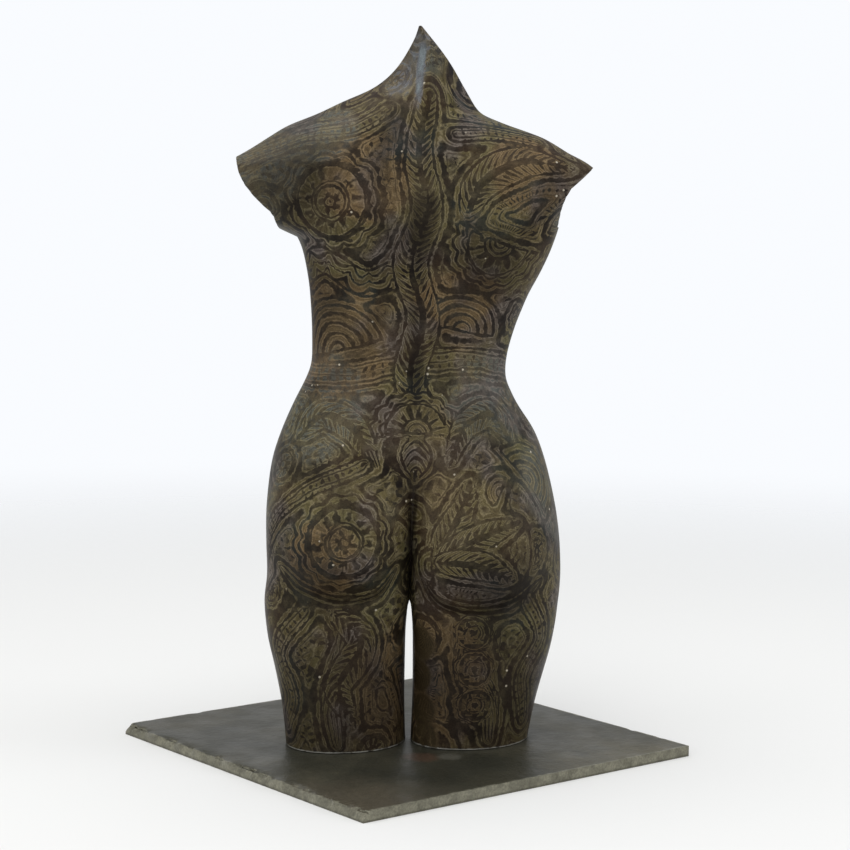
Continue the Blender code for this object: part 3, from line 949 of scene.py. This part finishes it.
w, given, result = new_group(
    "brush_strokes",
    ["Row", "Along", "Width", "Swell", "Second Width", "Second Swell", "Soft", "Halo"],
    ["Ink", "Halo"],
)
from_row = w.math("PINGPONG", given["Row"], 0.5)
beat = w.math("COSINE", w.math("MULTIPLY", given["Along"], TAU))
beat = w.math("MULTIPLY", w.math("SIGN", beat), w.math("SQRT", w.math("ABSOLUTE", beat)))
inks, halos = [], []
for distance, width, swell in (
    (from_row, "Width", "Swell"),
    (w.math("SUBTRACT", 0.5, from_row), "Second Width", "Second Swell"),
):
    half = w.math("MULTIPLY_ADD", beat, given[swell], given[width])
    depth = w.math("SUBTRACT", distance, half)
    inks.append(w.fade(depth, w.math("MULTIPLY", given["Soft"], -1.0), given["Soft"], 1.0, 0.0))
    thick = w.fade(half, 0.0, THINNEST_STROKE)
    halo_start = w.math("MULTIPLY", given["Halo"], HALO_START)
    halos.append(w.math("MULTIPLY", thick, w.fade(depth, halo_start, given["Halo"], 1.0, 0.0)))
w.put(result["Ink"], w.math("MAXIMUM", *inks))
w.put(result["Halo"], w.math("MAXIMUM", *halos))
strokes_group = w.tree
print("nodes in the group:", len(strokes_group.nodes))

# %% [markdown]
# ## The body's finish
#
# The real surface is dull and waxy, with many thin colours over each other. The base colours
# are earths, none of them far from olive brown: the variety comes from mixing them in soft
# patches of different sizes. Each ground has a paler twin, which shows along the strokes.

# %% The body's colours
INK = (0.0075, 0.0052, 0.0042, 1.0)
UMBER_INK = (0.025, 0.015, 0.009, 1.0)
TEAL_INK = (0.010, 0.014, 0.014, 1.0)
OLIVE = (0.084, 0.067, 0.027, 1.0)
MOSSY = (0.103, 0.090, 0.037, 1.0)
OCHRE = (0.129, 0.083, 0.039, 1.0)
VIOLET = (0.079, 0.063, 0.064, 1.0)
BROWN = (0.056, 0.039, 0.021, 1.0)
# a grey patina colour, which also stands for the painted sheen on the neck, the shoulders and the hips
GREY_PATINA_AND_SHEEN = (0.074, 0.081, 0.074, 1.0)
# the painted highlight on the neck's left side: its bright streak, and next its pale sheen
NECK_STREAK_BLUE = (0.165, 0.192, 0.200, 1.0)
NECK_SHEEN_GREY = (0.122, 0.122, 0.130, 1.0)
PLAIN = (0.037, 0.024, 0.010, 1.0)
PALE = (0.192, 0.158, 0.088, 1.0)
PALE_OCHRE = (0.214, 0.147, 0.078, 1.0)
PALE_MOSS = (0.182, 0.159, 0.083, 1.0)
PALE_VIOLET = (0.168, 0.142, 0.128, 1.0)
# the lighter ground of wear and of the painted highlight on the crowns of the forms
RUBBED_LIT_EARTH = (0.165, 0.134, 0.070, 1.0)
CHIP = (0.45, 0.40, 0.31, 1.0)
FOOT_LINE = (0.42, 0.41, 0.37, 1.0)

body_paint = bpy.data.materials.new("patinated_body_paint")
body_paint.use_nodes = True
w = Wiring(body_paint.node_tree)
shader = w.tree.nodes["Principled BSDF"]
where = w.node("ShaderNodeTexCoord").outputs["Object"]

# %% [markdown]
# The rows stored on the skin are smooth, and painted strokes are not. Three noises, from a
# slow sway to a fine quiver, shift the rows before the strokes are drawn. Then the material
# takes the top motif's fields inside its edge, and the fields of the one under it outside.

# %% The rows, shaken by hand
SWAY_SCALE, SHAKE_SCALE, QUIVER_SCALE = 55.0, 150.0, 380.0
SWAY, SHAKE, QUIVER = 0.55, 0.20, 0.10
EDGE_QUIVER = 0.0016
BEAD_SHAKE = 1.1

sway = w.math("SUBTRACT", w.noise(where, SWAY_SCALE, 1.0), 0.5)
shake = w.math("SUBTRACT", w.noise(where, SHAKE_SCALE, 1.0), 0.5)
quiver = w.math("SUBTRACT", w.noise(where, QUIVER_SCALE), 0.5)

top_field = w.attribute("top_field")
edge = w.math("MULTIPLY_ADD", quiver, EDGE_QUIVER, w.parts(top_field)[2])
outside = w.math("GREATER_THAN", edge, 0.0)
row, along, _ = w.parts(w.pick(outside, top_field, w.attribute("under_field")))
width, swell, second = w.parts(w.pick(outside, w.attribute("top_brush"), w.attribute("under_brush")))
second_swell, tone, _ = w.parts(w.pick(outside, w.attribute("top_more"), w.attribute("under_more")))
for stray, amount in ((sway, SWAY), (shake, SHAKE), (quiver, QUIVER)):
    row = w.math("MULTIPLY_ADD", stray, amount, row)
along = w.math("MULTIPLY_ADD", shake, BEAD_SHAKE, along)

# %% [markdown]
# The group draws the strokes, heavier in some patches than in others, as a brush runs full and
# dry. Each motif also gets an inked rim along its edge. No ink lies on the bare places, and
# the pale edges fade under the painted highlight on the neck.

# %% The strokes on the body
STROKE_SOFT = 0.10
HALO_REACH = 0.17
LIGHT_HAND, HEAVY_HAND = 0.60, 1.52
RIM_THIN, RIM_THICK, RIM_SOFT = 0.0004, 0.0012, 0.0004
GONE_FROM, GONE_AT = 0.35, 0.75

heavy = w.patches(where, 75.0, 0.32, 0.68, LIGHT_HAND, HEAVY_HAND, detail=3.0)
strokes = w.node("ShaderNodeGroup", node_tree=strokes_group)
for label, value in (
    ("Row", row), ("Along", along), ("Width", w.times(width, heavy)), ("Swell", w.times(swell, heavy)),
    ("Second Width", second), ("Second Swell", second_swell), ("Soft", STROKE_SOFT), ("Halo", HALO_REACH),
):
    w.put(strokes.inputs[label], value)
rim_width = w.patches(where, 110.0, 0.35, 0.65, RIM_THIN, RIM_THICK)
past_rim = w.math("SUBTRACT", w.math("ABSOLUTE", edge), rim_width)
ink = w.stronger(strokes.outputs["Ink"], w.fade(past_rim, 0.0, RIM_SOFT, 1.0, 0.0))
halo = w.stronger(strokes.outputs["Halo"], w.fade(past_rim, 0.0005, 0.0011, 1.0, 0.0))
# the painted highlight on the neck, the bare places and the specks
neck_sheen, bare, speckled = w.parts(w.attribute("bare"))
ink = w.times(ink, w.fade(bare, GONE_FROM, GONE_AT, 1.0, 0.0))
halo = w.times(halo, w.fade(w.math("ADD", bare, neck_sheen), GONE_FROM, GONE_AT, 1.0, 0.0))

# %% [markdown]
# Close up, fine scratches run between the strokes, some dark and some light. They follow the
# same rows, at three times the number, and come and go in patches, so they never look ruled.

# %% Hairlines between the strokes
HAIRS_TO_A_ROW = 3.0
HAIR_SWAY = 1.5
DARKEST_HAIR, LIGHTEST_HAIR = 0.45, 0.35

hair_row = w.math("PINGPONG", w.math("MULTIPLY_ADD", sway, HAIR_SWAY, w.times(row, HAIRS_TO_A_ROW)), 0.5)
off_neck_sheen = w.fade(neck_sheen, 0.2, 0.6, 1.0, 0.0)
dark_hair = w.times(w.fade(hair_row, 0.10, 0.24, 1.0, 0.0), off_neck_sheen)
dark_hair = w.times(dark_hair, w.patches(where, 48.0, 0.42, 0.62, 0.0, DARKEST_HAIR))
light_hair = w.times(w.fade(hair_row, 0.40, 0.47), off_neck_sheen)
light_hair = w.times(light_hair, w.patches(where, 65.0, 0.45, 0.60, 0.0, LIGHTEST_HAIR))

# %% [markdown]
# How much of each colour lies where is worked out before any colour is mixed. The stains and
# the painted sheen on the vertices push the noise over its limit, so each has the same ragged edge as the
# patches that fall by chance. A warm motif leans to ochre and a dull one to brown.

# %% Where the ground's colours lie
VIOLET_SHIFT = (0.31, 0.17, 0.53)
UPRIGHT_STREAK = (1.0, 1.0, 0.16)

stains_sheen_and_shade = w.parts(w.attribute("stains_sheen_and_shade"))
warm = w.math("MULTIPLY_ADD", stains_sheen_and_shade[0], 0.9, w.noise(where, 17.0, 3.0))
ochre = w.fade(w.math("MULTIPLY_ADD", tone, 0.16, warm), 0.50, 0.85)
sunny = w.patches(where, 34.0, 0.46, 0.66)
dusk = w.fade(w.math("MULTIPLY_ADD", tone, -0.14, w.noise(where, 26.0, 3.0)), 0.50, 0.68)
# random grey patina, together with the painted sheen spots
greyed_and_sheen = w.fade(w.math("ADD", w.noise(where, 11.0, 3.0), stains_sheen_and_shade[1]), 0.62, 1.05)
stripe = w.fade(w.math("PINGPONG", w.math("ADD", row, 0.5), 1.0), 0.40, 0.60)
shifted = w.node("ShaderNodeVectorMath", where, VIOLET_SHIFT, operation="ADD").outputs[0]
violet = w.fade(w.math("MULTIPLY_ADD", neck_sheen, 0.12, w.noise(shifted, 23.0)), 0.50, 0.64, 0.0, 0.80)
streaked = w.node("ShaderNodeVectorMath", where, UPRIGHT_STREAK, operation="MULTIPLY").outputs[0]
neck_streaks = w.math("MULTIPLY_ADD", w.noise(streaked, 210.0), 1.5, neck_sheen)
# wear and painted highlight, broken into patches
rubbed_and_lit_here = w.times(w.attribute("rubbed_and_lit", "Fac"), w.patches(where, 24.0, 0.3, 0.6, 0.35, 1.0, detail=3.0))

# %% [markdown]
# The colours go on in the order of the real layers, with the painted light among them: earths first, then
# browns between every second row, then grey bloom with its painted sheen, the painted highlight on the neck,
# the ground painted lighter where it is rubbed and lit, and at last the pale edges that the strokes left. A
# Mix node takes an amount and two colours, so each layer is one line.

# %% The ground between the strokes
ground = w.blend(sunny, OLIVE, MOSSY)
ground = w.blend(ochre, ground, OCHRE)
ground = w.blend(violet, ground, VIOLET)
ground = w.blend(w.times(dusk, 0.55), ground, BROWN)
ground = w.blend(w.times(stripe, w.patches(where, 40.0, 0.42, 0.62, 0.0, 0.45)), ground, BROWN)
ground = w.blend(w.fade(bare, GONE_FROM, GONE_AT), ground, PLAIN)
ground = w.blend(w.times(greyed_and_sheen, 0.85), ground, GREY_PATINA_AND_SHEEN)
ground = w.blend(w.fade(neck_sheen, 0.05, 0.45, 0.0, 0.88), ground, NECK_SHEEN_GREY)
ground = w.blend(w.fade(neck_streaks, 1.20, 2.00), ground, NECK_STREAK_BLUE)
ground = w.blend(w.times(rubbed_and_lit_here, 0.30), ground, RUBBED_LIT_EARTH)
pale = w.blend(w.times(sunny, 0.75), PALE, PALE_MOSS)
pale = w.blend(w.times(ochre, 0.80), pale, PALE_OCHRE)
pale = w.blend(violet, pale, PALE_VIOLET)
ground = w.blend(light_hair, ground, pale)
ground = w.blend(w.times(halo, w.patches(where, 210.0, 0.34, 0.56, 0.15, 0.88)), ground, pale)

# %% [markdown]
# The ink isn't one black. It turns to umber in some patches and to a bluish black in others,
# and it is thinner where it was wiped, on the grey patches with their painted sheen, under the neck's painted
# highlight and where the ground is rubbed and painted lighter. Over it lies a layer of dark patches and
# painted shade, which hides all that is under it.

# %% The ink over the ground
tint = w.noise(where, 19.0, 3.0)
ink_colour = w.blend(w.fade(tint, 0.46, 0.58), INK, UMBER_INK)
ink_colour = w.blend(w.fade(tint, 0.42, 0.34), ink_colour, TEAL_INK)
thin = w.patches(where, 120.0, 0.35, 0.56, 0.84, 1.0, detail=3.0)
strength = w.times(thin, w.patches(where, 22.0, 0.3, 0.6, 0.90, 1.0))
paler = w.stronger(w.times(greyed_and_sheen, 0.30), w.times(neck_sheen, 0.90))
paler = w.stronger(paler, w.times(rubbed_and_lit_here, 0.16))
strength = w.math("SUBTRACT", strength, paler)
colour = w.blend(w.stronger(w.times(ink, strength), dark_hair), ground, ink_colour)
# the dark patches and the painted shade of the hollows, the folds, the cleft and the thighs
dark_patch_and_shade_cover = w.times(stains_sheen_and_shade[2], w.patches(where, 30.0, 0.25, 0.6, 0.70, 0.95, detail=3.0))
colour = w.blend(dark_patch_and_shade_cover, colour, INK)

# %% [markdown]
# A few light specks lie all over the surface, and many in the chipped places. A Voronoi
# texture gives every cell a random colour: the few cells that draw a high number get a speck
# at their centre. A fine grain takes the digital evenness off, and a pale line runs round the
# foot, where the body is set on the slab.

# %% Specks and the line at the foot
SPECKS_PER_METRE = 200.0
SPECK_INNER, SPECK_OUTER = 0.12, 0.22
GRAIN_SCALE = 900.0
FOOT_LINE_FROM, FOOT_LINE_TO = 0.0088, 0.0096

cells = w.node("ShaderNodeTexVoronoi", feature="F1")
w.put(cells.inputs["Vector"], where)
cells.inputs["Scale"].default_value = SPECKS_PER_METRE
chance = w.math("MULTIPLY_ADD", speckled, 0.34, w.parts(cells.outputs["Color"])[0])
lucky = w.fade(chance, 0.986, 0.99)
speck = w.times(lucky, w.fade(cells.outputs["Distance"], SPECK_INNER, SPECK_OUTER, 0.9, 0.0))
colour = w.blend(speck, colour, CHIP)
colour = w.scaled(colour, w.patches(where, GRAIN_SCALE, 0.3, 0.7, 0.76, 1.24, detail=3.0, rough=0.7))
foot_height = w.math("MULTIPLY_ADD", quiver, 0.0008, w.parts(where)[2])
foot = w.fade(foot_height, FOOT_LINE_FROM, FOOT_LINE_TO, 1.0, 0.0)
foot = w.times(foot, w.patches(where, 160.0, 0.4, 0.5, 0.25, 0.9))
w.put(shader.inputs["Base Color"], w.blend(foot, colour, FOOT_LINE))

# %% [markdown]
# The sheen is that of old wax: low, and a little higher on the ink than beside it. The grey
# patches, which also carry a painted sheen in their colour, have a faint coat of their own. The bump is very
# small, since the paint is flat: it only keeps a highlight from looking like plastic.

# %% The body's sheen
DULL, SATIN = 0.52, 0.36
BUMP_HEIGHT = 0.00025

satin = w.math("MULTIPLY_ADD", ink, 0.1, w.noise(where, 60.0, 3.0))
w.put(shader.inputs["Roughness"], w.fade(satin, 0.3, 0.75, DULL, SATIN))
w.put(shader.inputs["Coat Weight"], w.times(greyed_and_sheen, 0.14))
shader.inputs["Coat Roughness"].default_value = 0.32
shader.inputs["Specular IOR Level"].default_value = 0.07
bump = w.node("ShaderNodeBump")
bump.inputs["Distance"].default_value = BUMP_HEIGHT
bump.inputs["Strength"].default_value = 0.6
w.put(bump.inputs["Height"], w.math("MULTIPLY_ADD", ink, 0.15, w.noise(where, 260.0, 4.0, 0.6)))
w.put(shader.inputs["Normal"], bump.outputs["Normal"])
torso.data.materials.append(body_paint)
print("nodes in the body's paint:", len(w.tree.nodes))

# %% [markdown]
# ## The slate slab
#
# The slab was split and sawn: its face is nearly flat but riven, three sides are straight, and
# the fourth was dressed with a chisel, so its upper edge is broken all along. A flat box would
# catch the light like plastic. So a fine grid is extruded down to a slab, and its vertices are
# moved in code: the face only down and the sides only in, so that the slab keeps its size.

# %% The slab's mesh
SLAB_SIDE = 0.300
SLAB_THICKNESS = 0.008
SLAB_TURN = math.radians(38.6)
SLAB_GRID = 150
SLAB_LAYERS = 4
RIVEN = 0.00035
CHISELLED = 0.0052
CHIPPED = 0.0016

bpy.ops.object.select_all(action="DESELECT")
bpy.ops.mesh.primitive_grid_add(x_subdivisions=SLAB_GRID, y_subdivisions=SLAB_GRID, size=SLAB_SIDE,
                                location=(0.0, 0.0, SLAB_THICKNESS))
slab = bpy.context.object
slab.name = slab.data.name = "slate_slab"
bpy.ops.object.transform_apply(location=True, rotation=True, scale=True)
bpy.ops.object.mode_set(mode="EDIT")
bpy.ops.mesh.select_all(action="SELECT")
for layer in range(SLAB_LAYERS):
    bpy.ops.mesh.extrude_region_move(
        TRANSFORM_OT_translate={"value": (0.0, 0.0, -SLAB_THICKNESS / SLAB_LAYERS)}
    )
bpy.ops.mesh.select_all(action="SELECT")
bpy.ops.mesh.normals_make_consistent(inside=False)
bpy.ops.object.mode_set(mode="OBJECT")
print("slab:", len(slab.data.vertices), "vertices")


# %% [markdown]
# The face was split, so it rolls gently and has no edge quite straight. Smooth noise lowers it
# here and there. Along the sides, noise that is cut off below a limit leaves most of the edge
# whole and bites out a chip now and then. On the chiselled side it bites almost everywhere.

# %% Chips and riven face
TOP_FROM = 0.99
WORN_FROM = 0.0060
DRESSED_FROM = 0.009
SMOOTH_ANGLE = math.radians(35)


def rough(places, scale, lot):
    """Smooth uneven numbers from -1 to 1, one for each place, and others for another lot."""
    shift = Vector((lot * 7.1, lot * 3.3, lot * 5.7))
    return np.array([noise.noise(Vector(p) * scale + shift) for p in places])


def chiselled(places, lot):
    """Bites almost all along an edge."""
    return np.clip(0.55 + 1.3 * rough(places * [1, 1, 0.5], 60.0, lot + 3), 0, 1)


def chipped(places, lot):
    """A few bites with whole edge between them."""
    return np.clip(2.2 * rough(places * [1, 1, 0.5], 70.0, lot + 5) - 0.55, 0, 1)


spots = read_places(slab.data)
half_side = SLAB_SIDE / 2
level = spots[:, 2] / SLAB_THICKNESS
top_face = level > TOP_FROM
rolls = rough(spots, 30.0, 1) * 0.6 + rough(spots * [1, 2.5, 1], 90.0, 2) * 0.4
spots[top_face, 2] -= (RIVEN * (0.5 + 0.5 * np.clip(rolls, -1, 1)))[top_face]
for axis, way, bitten, depth, reach in (
    (0, 1, chiselled, CHISELLED, DRESSED_FROM), (0, -1, chipped, CHIPPED, WORN_FROM),
    (1, 1, chipped, CHIPPED, WORN_FROM), (1, -1, chipped, CHIPPED, WORN_FROM),
):
    inset = half_side - way * spots[:, axis]
    broken = bitten(spots, axis + way)
    fine = 0.75 + 0.7 * rough(spots, 240.0, 9)
    near = np.clip(1 - inset / reach, 0, 1)
    bite = depth * broken * fine * np.clip(level * 1.5 - 0.35, 0, 1) ** 1.2
    spots[:, axis] -= way * bite * near ** 2
    spots[:, 2] -= top_face * 0.5 * bite * near ** 2
slab.data.vertices.foreach_set("co", spots.astype(np.float32).ravel())
print("deepest bite below the face:", round(float(SLAB_THICKNESS - spots[top_face, 2].min()), 5), "m")

# %% [markdown]
# The slab was made square to the axes, because that is easy to reason about. It is turned only
# now, and the turn is applied at once, so that its place is in its mesh.

# %% The slab in its place
only(slab)
slab.rotation_euler = (0.0, 0.0, SLAB_TURN)
bpy.ops.object.transform_apply(location=True, rotation=True, scale=True)
bpy.ops.object.shade_smooth_by_angle(angle=SMOOTH_ANGLE)
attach(slab, "root")
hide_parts("base_slab")
print("slab:", [round(length, 4) for length in slab.dimensions], "m")

# %% [markdown]
# Slate is a soft dark grey, here with a hint of green. The face varies in wide blotches: a
# painted shade on the face just in front of the legs, a warmer blotch, a trace of rust and a scuff or two.
# Each is a place on the slab with a soft and ragged edge, so they are one loop.

# %% The slate's face
SLATE_DARK = (0.026, 0.026, 0.019, 1.0)
SLATE_LIGHT = (0.052, 0.048, 0.033, 1.0)
# painted shade on the slab's face just in front of the legs
LEG_SHADE = (0.016, 0.017, 0.013, 1.0)
WARM = (0.070, 0.060, 0.043, 1.0)
RUST = (0.070, 0.038, 0.024, 1.0)
SCUFF = (0.120, 0.116, 0.096, 1.0)
SANDY = (0.082, 0.070, 0.036, 1.0)
# colour, place, where it starts to fade, where it is gone, strength
BLOTCHES = (
    (LEG_SHADE, (-0.030, 0.105), 0.030, 0.090, 0.45), (WARM, (0.030, 0.200), 0.020, 0.090, 0.80),
    (RUST, (-0.014, 0.066), 0.008, 0.016, 0.60), (SCUFF, (-0.034, 0.064), 0.005, 0.012, 0.45),
    (SCUFF, (0.096, 0.080), 0.006, 0.015, 0.30), (SANDY, (-0.185, 0.075), 0.020, 0.090, 0.75),
)

slate = bpy.data.materials.new("riven_slate")
slate.use_nodes = True
w = Wiring(slate.node_tree)
shader = w.tree.nodes["Principled BSDF"]
where = w.node("ShaderNodeTexCoord").outputs["Object"]
face = w.blend(w.patches(where, 18.0, 0.35, 0.7, detail=4.0, rough=0.6), SLATE_DARK, SLATE_LIGHT)
for blotch, (x, y), inner, outer, amount in BLOTCHES:
    distance = w.node("ShaderNodeVectorMath", where, (x, y, SLAB_THICKNESS), operation="DISTANCE")
    ragged = w.math("SUBTRACT", w.noise(where, 60.0, 4.0), 0.5)
    ragged = w.math("MULTIPLY_ADD", ragged, outer * 0.8, distance.outputs["Value"])
    face = w.blend(w.fade(ragged, inner, outer, amount, 0.0), face, blotch)

# %% [markdown]
# The sides and the worn rim are fresh stone, which is much paler than the face. The sides are
# told by their normals. For the rim, the slab's own x and y are needed: a Mapping node turns
# the places back by the slab's turn, and the nearer side gives the distance.

# %% The slate's sides
SLATE_EDGE = (0.150, 0.144, 0.108, 1.0)
WORN_FULL, WORN_GONE = 0.0034, 0.0056
UNDERSIDE_SHADE = 0.55

turned = w.node("ShaderNodeMapping", where)
turned.inputs["Rotation"].default_value = (0.0, 0.0, -SLAB_TURN)
x, y, z = w.parts(turned.outputs[0])
to_side = w.math("SUBTRACT", half_side, w.stronger(w.math("ABSOLUTE", x), w.math("ABSOLUTE", y)))
ragged = w.math("MULTIPLY_ADD", w.noise(where, 150.0, 3.0), 0.006, to_side)
worn = w.fade(ragged, WORN_FULL, WORN_GONE, 0.8, 0.0)
upright = w.parts(w.node("ShaderNodeNewGeometry").outputs["Normal"])[2]
flank = w.fade(upright, 0.55, 0.9, 1.0, 0.0)
side_tone = w.patches(where, 130.0, 0.3, 0.7, 0.72, 1.25, detail=3.0)
side_tone = w.times(side_tone, w.fade(z, 0.0006, 0.0022, UNDERSIDE_SHADE, 1.0))
colour = w.blend(w.stronger(flank, worn), face, w.scaled(SLATE_EDGE[:3], side_tone))
grain = w.patches(where, 700.0, 0.3, 0.7, 0.75, 1.3, detail=3.0, rough=0.7)
w.put(shader.inputs["Base Color"], w.scaled(colour, grain))

# %% [markdown]
# Split slate has a satin face that mirrors a bright room at a flat angle. Its gloss changes
# in patches, and a shallow bump of two sizes breaks the mirror image up.

# %% The slate's sheen
SPLIT_GLOSSY, SPLIT_DULL = 0.32, 0.44
SPLIT_BUMP = 0.0004

w.put(shader.inputs["Roughness"], w.patches(where, 40.0, 0.3, 0.7, SPLIT_GLOSSY, SPLIT_DULL, detail=3.0))
shader.inputs["Specular IOR Level"].default_value = 0.42
shader.inputs["Specular Tint"].default_value = (1.0, 0.95, 0.74, 1.0)
bump = w.node("ShaderNodeBump")
bump.inputs["Distance"].default_value = SPLIT_BUMP
ripple = w.times(w.noise(where, 700.0), 0.3)
w.put(bump.inputs["Height"], w.math("ADD", w.noise(where, 180.0, 4.0, 0.6), ripple))
w.put(shader.inputs["Normal"], bump.outputs["Normal"])
slab.data.materials.append(slate)
print("nodes in the slate:", len(w.tree.nodes))

# %% [markdown]
# ## Floor, light and camera
#
# A product picture has a pale floor that runs into a white background without a line. A wide
# disc would end in a visible rim, so its colour stays plain and its Alpha fades out with the
# distance from the piece.

# %% Floor
FLOOR_RADIUS = 2.2
FLOOR_CORNERS = 96
FLOOR_CLEAR = 0.55
FLOOR_GONE = 0.85

bpy.ops.object.select_all(action="DESELECT")
bpy.ops.mesh.primitive_circle_add(vertices=FLOOR_CORNERS, radius=FLOOR_RADIUS, fill_type="NGON")
floor = bpy.context.object
floor.name = "floor"
floor_paint = bpy.data.materials.new("floor_paint")
floor_paint.use_nodes = True
w = Wiring(floor_paint.node_tree)
shader = w.tree.nodes["Principled BSDF"]
shader.inputs["Base Color"].default_value = (0.80, 0.80, 0.79, 1.0)
shader.inputs["Roughness"].default_value = 0.9
shader.inputs["Specular IOR Level"].default_value = 0.2
away = w.node("ShaderNodeVectorMath", w.node("ShaderNodeTexCoord").outputs["Object"], operation="LENGTH")
w.put(shader.inputs["Alpha"], w.fade(away.outputs["Value"], FLOOR_CLEAR, FLOOR_RADIUS * FLOOR_GONE, 1.0, 0.0))
floor.data.materials.append(floor_paint)
print("floor:", FLOOR_RADIUS, "m in radius")

# %% [markdown]
# The photograph has soft light from all round, a little stronger from above, and no clear
# shadow. Large lamps give that: the larger a lamp, the softer its shadow. The background is
# seen brighter than it lights the piece, which a Light Path node allows.

# %% Light
SKY_LIGHT = 0.55
SKY_SEEN = 1.0

scene = bpy.context.scene
scene.view_settings.view_transform = "Standard"
world = scene.world or bpy.data.worlds.new("studio")
scene.world = world
world.use_nodes = True
w = Wiring(world.node_tree)
sky = world.node_tree.nodes.get("Background") or w.node("ShaderNodeBackground")
seen = w.node("ShaderNodeLightPath").outputs["Is Camera Ray"]
sky.inputs["Color"].default_value = (0.95, 0.97, 1.0, 1.0)
w.put(sky.inputs["Strength"], w.fade(seen, 0.0, 1.0, SKY_LIGHT, SKY_SEEN))


def soft_lamp(name, spot, target, size, power, colour):
    """A large square lamp that points at a place on the piece."""
    lamp = bpy.data.lights.new(name, "AREA")
    lamp.shape = "SQUARE"
    lamp.size = size
    lamp.energy = power
    lamp.color = colour
    holder = bpy.data.objects.new(name, lamp)
    scene.collection.objects.link(holder)
    holder.location = spot
    holder.rotation_euler = (Vector(target) - Vector(spot)).to_track_quat("-Z", "Y").to_euler()


soft_lamp("ceiling", (0.2, 0.1, 2.4), (0, 0, 0), 2.4, 41, (1.0, 0.99, 0.97))
soft_lamp("window", (1.9, 1.1, 0.9), (0, 0, 0.3), 1.2, 5, (0.96, 0.98, 1.0))
soft_lamp("front", (0.4, 2.3, 0.9), (0, 0, 0.25), 1.4, 10, (1.0, 0.99, 0.97))
soft_lamp("side", (-1.9, 0.2, 0.9), (0, 0, 0.25), 1.0, 8, (0.96, 0.98, 1.0))

# %% [markdown]
# The camera's place and lens were worked out from the slab's corners in the photograph, whose
# real size is known. It stands behind the figure, level with the shoulders' height, tips down
# a little and leans slightly to one side.

# %% Camera
CAMERA_PLACE = (-0.0136, 1.6033, 0.4004)
CAMERA_PITCH = math.radians(5.6921)
CAMERA_ROLL = math.radians(0.6656)
CAMERA_LENS = 92.59

camera_data = bpy.data.cameras.new("camera")
camera_data.lens = CAMERA_LENS
camera_data.sensor_width = 36.0
camera = bpy.data.objects.new("camera", camera_data)
bpy.context.scene.collection.objects.link(camera)
camera.matrix_world = (
    Matrix.Translation(CAMERA_PLACE)
    @ Matrix.Rotation(math.pi, 4, "Z")
    @ Matrix.Rotation(math.pi / 2 - CAMERA_PITCH, 4, "X")
    @ Matrix.Rotation(CAMERA_ROLL, 4, "Z")
)
bpy.context.scene.camera = camera
print("camera:", CAMERA_LENS, "mm lens at", CAMERA_PLACE)
